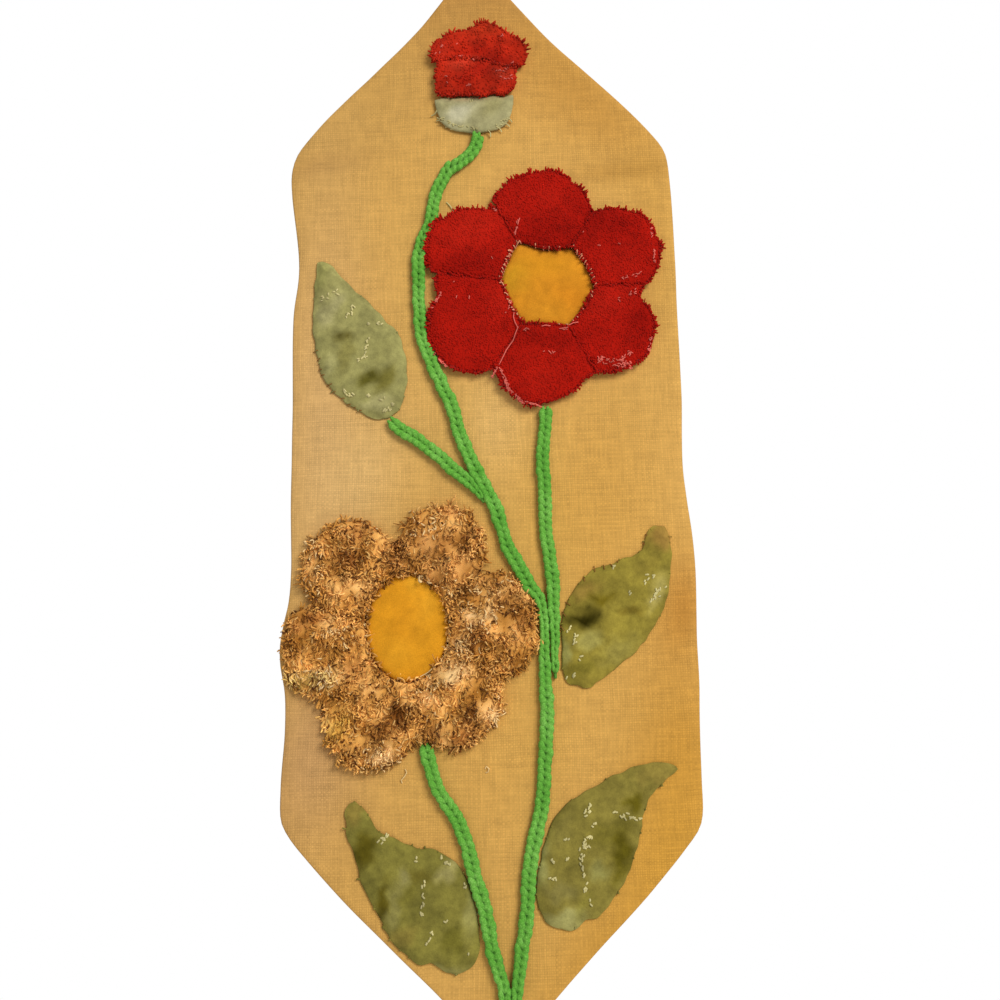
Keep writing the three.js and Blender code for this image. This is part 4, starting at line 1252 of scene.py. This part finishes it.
# Under the calyx the cream ground of its velvet has frayed to loose threads.
frays = []
for x, z, heading, length in (
    (-29.5, -120, 215, 4), (-26, -125, 200, 3.5), (-21, -129, 235, 3), (-15, -132.5, 190, 4.5),
    (-9, -133.5, 200, 4), (14, -133, 320, 4), (18.5, -130, 340, 4.5), (21.5, -126.5, 330, 3.5),
    (8, -136, 290, 3.5), (-7.5, -128, 60, 3),
):
    go_x, go_z = math.cos(math.radians(heading)), math.sin(math.radians(heading))
    line = []
    for share in (-0.3, 0, 0.35, 0.7, 1):
        go, off = length * share, 0.5 * math.sin(4 * share)
        line.append((x + go * go_x - off * go_z, 2.9 - 1.6 * share, z + go * go_z + off * go_x))
    frays.append(line)
sewing("calyx_frayed_threads", frays, 1, CREAM_DYE, "sage_pile", thread_look)
# A loose end of cream thread lies on the cloth between the bud's stem and the red flower.
sewing(
    "loose_thread_end", [[(-23, 0.3, -188), (-20.5, 0.9, -191), (-18, 1, -195), (-15.5, 0.5, -198.5)]],
    0.8, CREAM_DYE, "yellow_velvet", thread_look,
)

# ---- The leaves ----
# Four leaves of soft velvet, worn so that the cream ground shows in flecks along the middle.
# Their lighter and darker patches are partly wear and partly painted shade and sheen of the brushed nap.
LEAVES = [
    # x, z, half width from the base to the tip
    [
        (-66, -343, 7), (-70, -327, 20), (-80, -304, 29), (-91, -281, 24.5), (-101, -257.5, 15),
        (-110.5, -229, 3),
    ],
    [
        (57.5, -522, 9), (61.5, -512, 14.5), (71, -492, 25), (83.5, -474, 28), (99, -459.5, 22),
        (110, -443.5, 12.5), (114.5, -420.5, 6.5),
    ],
    [
        (-25.5, -694, 7.5), (-25, -684, 18), (-31, -671.5, 25), (-38, -659, 29), (-46.5, -647, 29),
        (-58, -638, 23), (-67.5, -628, 17.5), (-76, -617.5, 10.5), (-82, -606, 8.5), (-87, -592, 4.5),
    ],
    [
        (45.5, -670, 7), (46.5, -658.5, 19), (54, -640, 26), (63.5, -619.5, 27.5), (77, -602, 21.5),
        (90, -587.5, 12.5), (104, -579.5, 8), (118, -574, 2.5),
    ],
]
LEAF_DYES = ["#958f56", "#8c7d31", "#7e7634", "#827634"]
# Lighter and darker patches on each leaf: partly wear, partly painted shade and sheen of the brushed
# nap.
LEAF_WEAR_AND_SHADE = [
    [
        (-112, -240, 60, 16, 8, "#9c9856", 0.8), (-103, -266, 60, 16, 8, "#aba370", 0.7),
        (-92, -285, 0, 9, 6, "#4c430f", 0.9), (-93, -300, 80, 14, 7, "#797139", 0.7),
        (-77, -316, 10, 12, 7, "#504a0c", 0.9), (-65, -318, 60, 12, 6, "#6a6225", 0.8),
        (-72, -333, 0, 14, 6, "#a8a06a", 0.8), (-66, -297, 60, 14, 8, "#928c52", 0.6),
        (-104, -306, 60, 12, 4, "#a6a06a", 0.5),
    ],
    [
        (116, -427, 70, 13, 8, "#997638", 0.85), (106, -446, 60, 12, 8, "#83732e", 0.6),
        (63, -480, 15, 11, 7, "#2c2700", 1), (74, -468, 5, 10, 4, "#5e5004", 0.8),
        (94, -476, 20, 8, 4, "#6b5a1b", 0.8), (67, -493, 10, 10, 6, "#a39951", 0.8),
        (85, -501, 30, 14, 8, "#9d9047", 0.6), (112, -463, 60, 14, 6, "#aea05c", 0.65),
        (50, -500, 90, 10, 5, "#a19c5c", 0.6), (63, -510, 30, 12, 4, "#706622", 0.7),
        (64, -462, 40, 12, 6, "#907035", 0.6),
    ],
    [
        (-84, -597, 60, 12, 6, "#8f7a38", 0.7), (-79, -621, 80, 14, 9, "#524808", 0.9),
        (-68, -653, 80, 16, 5.5, "#554a0a", 0.9), (-43, -637, 10, 8, 4, "#5a501a", 0.8),
        (-49, -646, 60, 8, 5, "#645d21", 0.7), (-54, -638, 70, 8, 4, "#918955", 0.7),
        (-60, -656, 80, 16, 4, "#888048", 0.7), (-26, -632, 50, 11, 4, "#aba067", 0.55),
        (-12, -658, 80, 16, 5, "#948d52", 0.7), (-56, -673, 30, 16, 7, "#857334", 0.6),
        (-23, -674, 90, 10, 6, "#655f1e", 0.7), (-28, -692, 0, 14, 4, "#989158", 0.5),
    ],
    [
        (106, -578, 20, 14, 8, "#887636", 0.7), (91, -594, 80, 8, 5, "#5f550a", 0.9),
        (81, -627, 80, 18, 7, "#595008", 0.9), (73, -613, 30, 14, 8, "#6b6221", 0.7),
        (32, -630, 80, 16, 5, "#a39f60", 0.7), (46, -664, 10, 14, 6, "#a5a063", 0.7),
        (67, -636, 60, 8, 6, "#888348", 0.8), (45, -611, 60, 10, 6, "#8c803e", 0.6),
        (43, -647, 20, 10, 6, "#7c733e", 0.7), (56, -656, 70, 10, 4, "#827930", 0.6),
    ],
]
LEAF_FLECKS = [
    [
        (-73, -277, 10, 5, 1, 0.7), (-77.5, -288, 70, 2, 1.2, 0.9), (-79, -296, 75, 4, 1.2, 0.8),
        (-81, -302, 10, 4, 1.2, 0.8), (-90, -326, -30, 4, 1.6, 0.8), (-76.5, -327, 30, 2, 1.4, 0.9),
        (-68, -331, 10, 3, 1.2, 0.5), (-63, -337, 45, 4, 2, 0.8), (-89, -268, 60, 5, 2, 0.5),
        (-104, -256, 20, 7, 2, 0.4),
    ],
    [
        (51, -479.5, 60, 5, 1.5, 0.7), (54, -487, 60, 2, 1.2, 0.9), (57.5, -493, 80, 3.5, 1.4, 0.9),
        (60, -505, 70, 2, 1, 0.6), (53, -517, 35, 4, 1.2, 0.7), (112, -464, 60, 8, 3, 0.35),
        (93.5, -465, 80, 2.5, 1, 0.5), (107, -453, 30, 6, 3, 0.25), (85, -446.5, 20, 3, 1.2, 0.6),
        (45.5, -512, 90, 4, 1, 0.5),
    ],
    [
        (-28.5, -628, -50, 4, 1.4, 0.8), (-17, -644, 60, 2.5, 1.2, 0.7), (-42, -642, 80, 2.5, 1.1, 0.7),
        (-38, -673, 66, 4.5, 0.7, 1.1), (-41.5, -648, 80, 2, 0.9, 0.6), (-42.5, -656, 75, 4.5, 1.1, 0.7),
        (-28, -663, 10, 2, 0.9, 0.6), (-8.5, -666, 0, 1.4, 1, 0.8), (-14, -682, 0, 1, 1, 0.8),
        (-70, -661, 0, 1.2, 1, 0.8), (-67, -614, 30, 4, 2.4, 0.5), (-45, -625, 80, 3, 1, 0.4),
    ],
    [
        (63, -588.5, -40, 4, 1.5, 0.8), (61.5, -599, 45, 4, 1.7, 0.8), (64.5, -608, 10, 2, 1, 0.9),
        (60.5, -617, 50, 4, 1.4, 0.9), (58, -621, 5, 4, 1.2, 0.9), (57, -627, 80, 2, 1.5, 1),
        (55.5, -632, -60, 3.5, 1, 0.7), (58, -637, 70, 2, 1, 0.8), (58.5, -645, 80, 4, 1.4, 0.6),
        (61, -654, -50, 3, 1, 0.4), (78.5, -600, 0, 1.6, 1, 0.9), (88, -603.5, -10, 7, 2, 0.6),
        (51, -592, 20, 3, 1.4, 0.6), (37.5, -628.5, 0, 2.5, 1.2, 0.7), (47, -628, 40, 2, 1, 0.6),
        (37, -639, 0, 4, 1.2, 0.5), (47, -616, 30, 2.4, 1.2, 0.6),
    ],
]
ROUNDING = 0.05  # over this share of its length each end of a leaf is rounded


def blade(rows):
    """Where each share across and along a leaf lies."""
    rows = [(x, half, z) for x, z, half in rows]

    def spot(across, along):
        x, half, z = smooth(rows, along).T
        near_end = np.clip(np.minimum(along, 1 - along) / ROUNDING, 0.08, 1)
        half = half * np.sqrt(1 - (1 - near_end) ** 2)
        on, back = smooth(rows, along + 0.01), smooth(rows, along - 0.01)
        run_x, run_z = (on - back)[:, 0], (on - back)[:, 2]
        side = (2 * across - 1) * half / np.hypot(run_x, run_z)
        return x + side * run_z, z - side * run_x

    return spot


OVERCAST_STEP = 0.05  # between stitches over a leaf's side, as a share of its length


def overcast(spot, across, stretches, rng):
    """Small stitches over one side of a leaf, along stretches of its length."""
    lines = []
    for first, last in stretches:
        for along in np.arange(first, last, OVERCAST_STEP):
            along = np.array([along + rng.uniform(-0.008, 0.008)])
            inner_x, inner_z = spot(np.array([0.5 + 0.93 * (across - 0.5)]), along)
            outer_x, outer_z = spot(np.array([0.5 + 1.04 * (across - 0.5)]), along + 0.01)
            line = []
            for share in (0, 0.3, 0.6, 1):
                x = float(inner_x[0] + (outer_x[0] - inner_x[0]) * share)
                z = float(inner_z[0] + (outer_z[0] - inner_z[0]) * share)
                line.append((x, 2.6 * (1 - share) + 0.3 + 0.6 * math.sin(math.pi * share), z))
            lines.append(line)
    return lines


# Cotton velvet, dyed olive and worn pale where it is thin; where the nap lies over it is painted dark,
# as shade.
olive = pile_cloth("worn olive velvet", 0.95, 1.0, 0.8, 5, 1.0, SOFT)
sage = pile_cloth("worn grey-green velvet", 0.95, 1.0, 0.8, 5, 1.0, SOFT)
LEAF_CUTS = [
    # flat width and length, and area
    ((0.06, 0.122), 0.0047), ((0.057, 0.125), 0.0045), ((0.058, 0.122), 0.0046),
    ((0.055, 0.125), 0.0046),
]
BROWN_THREAD = dyeing_and_shading("#8f6030", [], 0, 0.2)
# Where brown stitches show along a leaf's left side: shares of its length.
LEAF_STITCHES = [[(0.12, 0.62)], [(0.3, 0.42), (0.5, 0.75), (0.9, 1)], [], []]

rng = random.Random(47)
for i, (flat_size, area) in enumerate(LEAF_CUTS):
    name, spot = f"leaf_{i + 1}", ragged(blade(LEAVES[i]), 2, 6)
    slot, material = ("olive_pile", olive) if i else ("sage_pile", sage)
    dye = dyeing_and_shading(LEAF_DYES[i], LEAF_WEAR_AND_SHADE[i], 5, 0.25, firm=2)
    body = sewn(f"{name}_cloth", name, (20, 42), VELVET_PILE, spot, dye, slot, material)
    roots = tufted(spot, VELVET_PILE, dye, [], rng)
    extras = [planted(f"{name}_edge", red_tufts, roots, slot, material)]
    bits = worn_through(LEAF_FLECKS[i], spot, VELVET_PILE, 2, rng)
    extras.append(sewing(f"{name}_flecks", bits, 1.35, CREAM_DYE, slot, thread_look))
    lines = overcast(spot, 0, LEAF_STITCHES[i], rng)
    if lines:
        extras.append(sewing(f"{name}_stitches", lines, 0.6, BROWN_THREAD, slot, thread_look))

# ---- The stems ----
# Cord knitted from thick green yarn, laid along each stem's line and sewn down all along
# it. Its front is one column of stitches, each a V of two plump strands.
CORD_WIDE = 8.6
CORD_DEEP = 5.2
CORE_IN = 1.1  # how much narrower the core inside the stitches is at each side
CORE_FLATTER = 2.4  # and how much less deep
STITCH_STEP = 4.9
ROUTE_STEP = 0.25  # between the points of a stem's line
STEMS = {
    # x, z, and how wide the cord is where its neighbours press it
    "stem_bud": [
        (-1, -138.5), (-1.5, -145), (-6, -153), (-13, -159.5), (-21, -165.5), (-25, -172), (-30, -183.5),
        (-32.5, -194), (-34, -202), (-36.6, -209, 7.6), (-40.2, -217, 7.2), (-41.6, -225, 7.6),
        (-42.5, -235), (-42.5, -258), (-41.8, -270, 8.2), (-41.2, -282, 8), (-37.9, -296, 8),
        (-32, -310.5), (-26, -324.5), (-20, -338.5), (-16.5, -352.5), (-11.5, -366.5), (-5.5, -380),
        (1.5, -394), (7.5, -407.5), (11.5, -421), (15.5, -434), (23, -447.5), (30.4, -461),
        (34.6, -467, 7.4), (37, -484, 6), (37, -503, 6.4), (37, -519, 8), (37.5, -536), (36, -562),
        (32.5, -596), (28, -616), (24, -636), (21.5, -662), (17.5, -686, 8), (15, -704, 7),
        (13.5, -722, 6.4),
    ],
    "stem_red": [
        (42, -340), (41.5, -352), (39.2, -374), (40, -396), (39.8, -420), (42, -440), (43.6, -456),
        (43.6, -470, 8), (44, -487, 6.6), (43.6, -503, 5.4), (43.6, -518, 4.2),
    ],
    "stem_leaf": [
        (-61.5, -346), (-54, -352.5), (-40.5, -362), (-28, -372.5), (-20.5, -380), (-13.8, -385.5, 8),
        (-8.4, -391, 7.2), (-2.6, -398.5, 5.5), (0, -402.5, 4.4),
    ],
    "stem_brown": [
        (-40, -558.5), (-36.8, -571), (-31.5, -586), (-20.5, -603.5), (-14, -620), (-9, -640),
        (-3.5, -659), (-0.5, -676), (3.5, -692, 8), (6.8, -704, 7.4), (6.6, -720, 6.6),
    ],
}
strands = bpy.data.collections.new("strand")
for side in (-1, 1):
    tuft(
        strands, 8.4, 4.3,
        [(-18, 34 * side), (10, -4 * side), (12, -12 * side), (10, -14 * side), (8, -8 * side)], sides=8,
        taper=(0.5, 0.95, 1.05, 1.0, 0.85, 0.5),
    )

# Acrylic knitting yarn: smooth and bright green. The start of each strand is painted darker, as shade
# where it comes out of the knit, so it is lighter where it stands up.
knitted, tree, shader = finish(
    "knitted acrylic yarn, bright green",
    {"Roughness": 0.9, "Specular IOR Level": 0.12, "Sheen Weight": 0.05},
)
place = node(tree, "ShaderNodeTexCoord").outputs["Object"]
fibre = grain(tree, place, 0.8, 3)[0]
mixed = maths(tree, "MULTIPLY_ADD", grain(tree, place, 14, 1)[0], 0.5, fibre)
greens = [(0.5, "#4d922c"), (0.75, "#66a93c"), (1, "#86c25a")]
colour = node(tree, "ShaderNodeValToRGB", {0: mixed}, greens).outputs[0]
reach = node(tree, "ShaderNodeAttribute", attribute_name="reach").outputs["Fac"]
# Painted shade: the first third of each strand is darkened.
lift = node(tree, "ShaderNodeMapRange", {0: reach, 1: 0, 2: 0.35, 3: 0.72, 4: 1}).outputs[0]
surfaced(tree, shader, colour, lift, fibre, 0.4, 0.3)


def route(rows):
    """A stem's line in small steps: x, z, how wide it is, and the way on."""
    rows = [(*row, CORD_WIDE)[:3] for row in rows]
    fine = smooth(rows, np.linspace(0, 1, FINE))
    steps = np.concatenate([[0], np.cumsum(np.hypot(*np.diff(fine[:, :2], axis=0).T))])
    at = np.arange(0, steps[-1], ROUTE_STEP)
    line = np.column_stack([np.interp(at, steps, fine[:, k]) for k in range(3)])
    on = np.gradient(line[:, :2], axis=0)
    return line, on / np.linalg.norm(on, axis=1)[:, None]


def cord_core(name, line, on):
    """The closed inside of a cord, smaller than it all round, which the strands cover."""
    steps = max(4, round(len(line) * ROUTE_STEP / 4))
    bm = bmesh.new()
    bmesh.ops.create_cone(bm, segments=10, radius1=1, radius2=1, depth=1, cap_ends=True, cap_tris=False)
    sides = [edge for edge in bm.edges if abs(edge.verts[0].co.z - edge.verts[1].co.z) > 0.5]
    bmesh.ops.subdivide_edges(bm, edges=sides, cuts=steps, use_grid_fill=True)
    for vert in bm.verts:
        i = min(len(line) - 1, max(0, round((0.5 - vert.co.z) * (len(line) - 1))))
        (x, z, wide), (on_x, on_z) = line[i], on[i]
        side = vert.co.x * (wide / 2 - CORE_IN)
        at_x, at_z = x + side * on_z, z - side * on_x
        y = float(drape(at_x, at_z)) - GAP - 0.2 - (CORD_DEEP - CORE_FLATTER) / 2 * (1 - vert.co.y)
        vert.co = Vector((at_x, y, at_z)) * MM
    bmesh.ops.recalc_face_normals(bm, faces=bm.faces[:])
    core = shown(f"{name}_core", mesh_of(name, bm), "green_cord", knitted)
    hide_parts(name)


rng = random.Random(59)
for name, rows in STEMS.items():
    line, on = route(rows)
    cord_core(name, line, on)
    roots = []
    long = len(line) * ROUTE_STEP
    for at in [3.8, *np.arange(8, long - 1, STITCH_STEP)]:
        i = int(at / ROUTE_STEP)
        (x, z, wide), (on_x, on_z) = line[i], on[i]
        pressed = wide / CORD_WIDE
        y = float(drape(x, z)) - GAP - CORD_DEEP + 1.9
        up = Vector((-on_x, 0, -on_z))
        face = Vector((0, -1, 0))
        across = up.cross(face)
        for kind in (0, 1):
            turn = Matrix((across, -face, up)).transposed().to_quaternion()
            wobble = Quaternion((0, 1, 0), math.radians(rng.uniform(-5, 5)))
            grown = rng.uniform(0.98, 1.1) * min(1, 0.42 + at / 12, 0.75 + (long - at) / 14)
            broad = pressed * grown * min(1.08, 0.45 + at / 9)
            roots.append(((x, y, z), turn @ wobble, (broad, grown, grown), kind, (1, 1, 1)))
    planted(f"{name}_stitches", strands, roots, "green_cord", knitted)

# ---- The hem and the sewing on the back ----
# The hem is held with small running stitches along its raw edge, and each piece with
# longer ones just inside its outline. On the back they show as rows of short threads.
BACK = -WEAVE - 0.15  # just behind the cloth's back, as a distance off its front
HEM_STITCHES = (-720, -24)  # where they start and end, short of the hanging's two points
HEM_STITCH_IN = 1.6  # how far they run from the hem's raw edge


def stitched(path, step, length, off):
    """Short stitches every so many mm along a path of x, z points."""
    steps = np.concatenate([[0], np.cumsum(np.hypot(*np.diff(path, axis=0).T))])
    lines = []
    for at in np.arange(step / 2, steps[-1] - length, step):
        line = []
        for k, rise in ((0, off), (1, off - 0.35), (2, off)):
            x, z = (float(np.interp(at + k * length / 2, steps, path[:, axis])) for axis in (0, 1))
            line.append((x, rise, z))
        lines.append(line)
    return lines


sewn_rows = (row_z > HEM_STITCHES[0]) & (row_z < HEM_STITCHES[1])
left_path = np.column_stack([hem_left - HEM_STITCH_IN, row_z])[sewn_rows]
right_path = np.column_stack([hem_right + HEM_STITCH_IN, row_z])[sewn_rows][::-1]
lines = stitched(left_path, 6, 2.6, BACK - 2 * FOLD_ROUND)
lines += stitched(right_path, 6, 2.6, BACK - 2 * FOLD_ROUND)
hem_dye = dyeing_and_shading("#c2924a", [], 0, 0.1)
hem_stitches = sewing("hem_stitches", lines, 0.6, hem_dye, "mustard_cloth", thread_look)

spots = [petal(RED_MIDDLE, RED_PETALS, cornered, i) for i in range(len(RED_PETALS))]
spots += [petal(BROWN_MIDDLE, BROWN_PETALS, oval, i) for i in range(len(BROWN_PETALS))]
spots += [tier(rows) for rows in BUD.values()] + [blade(rows) for rows in LEAVES]
lines = []
for spot in spots:
    outline, out = edge_of(spot)
    lines += stitched(outline - 2.5 * out, 5.5, 2.4, BACK)
for rows in STEMS.values():
    lines += stitched(route(rows)[0][::8, :2], 7, 2.4, BACK)
back_stitches = sewing("back_stitches", lines, 0.6, BROWN_THREAD, "mustard_cloth", thread_look)
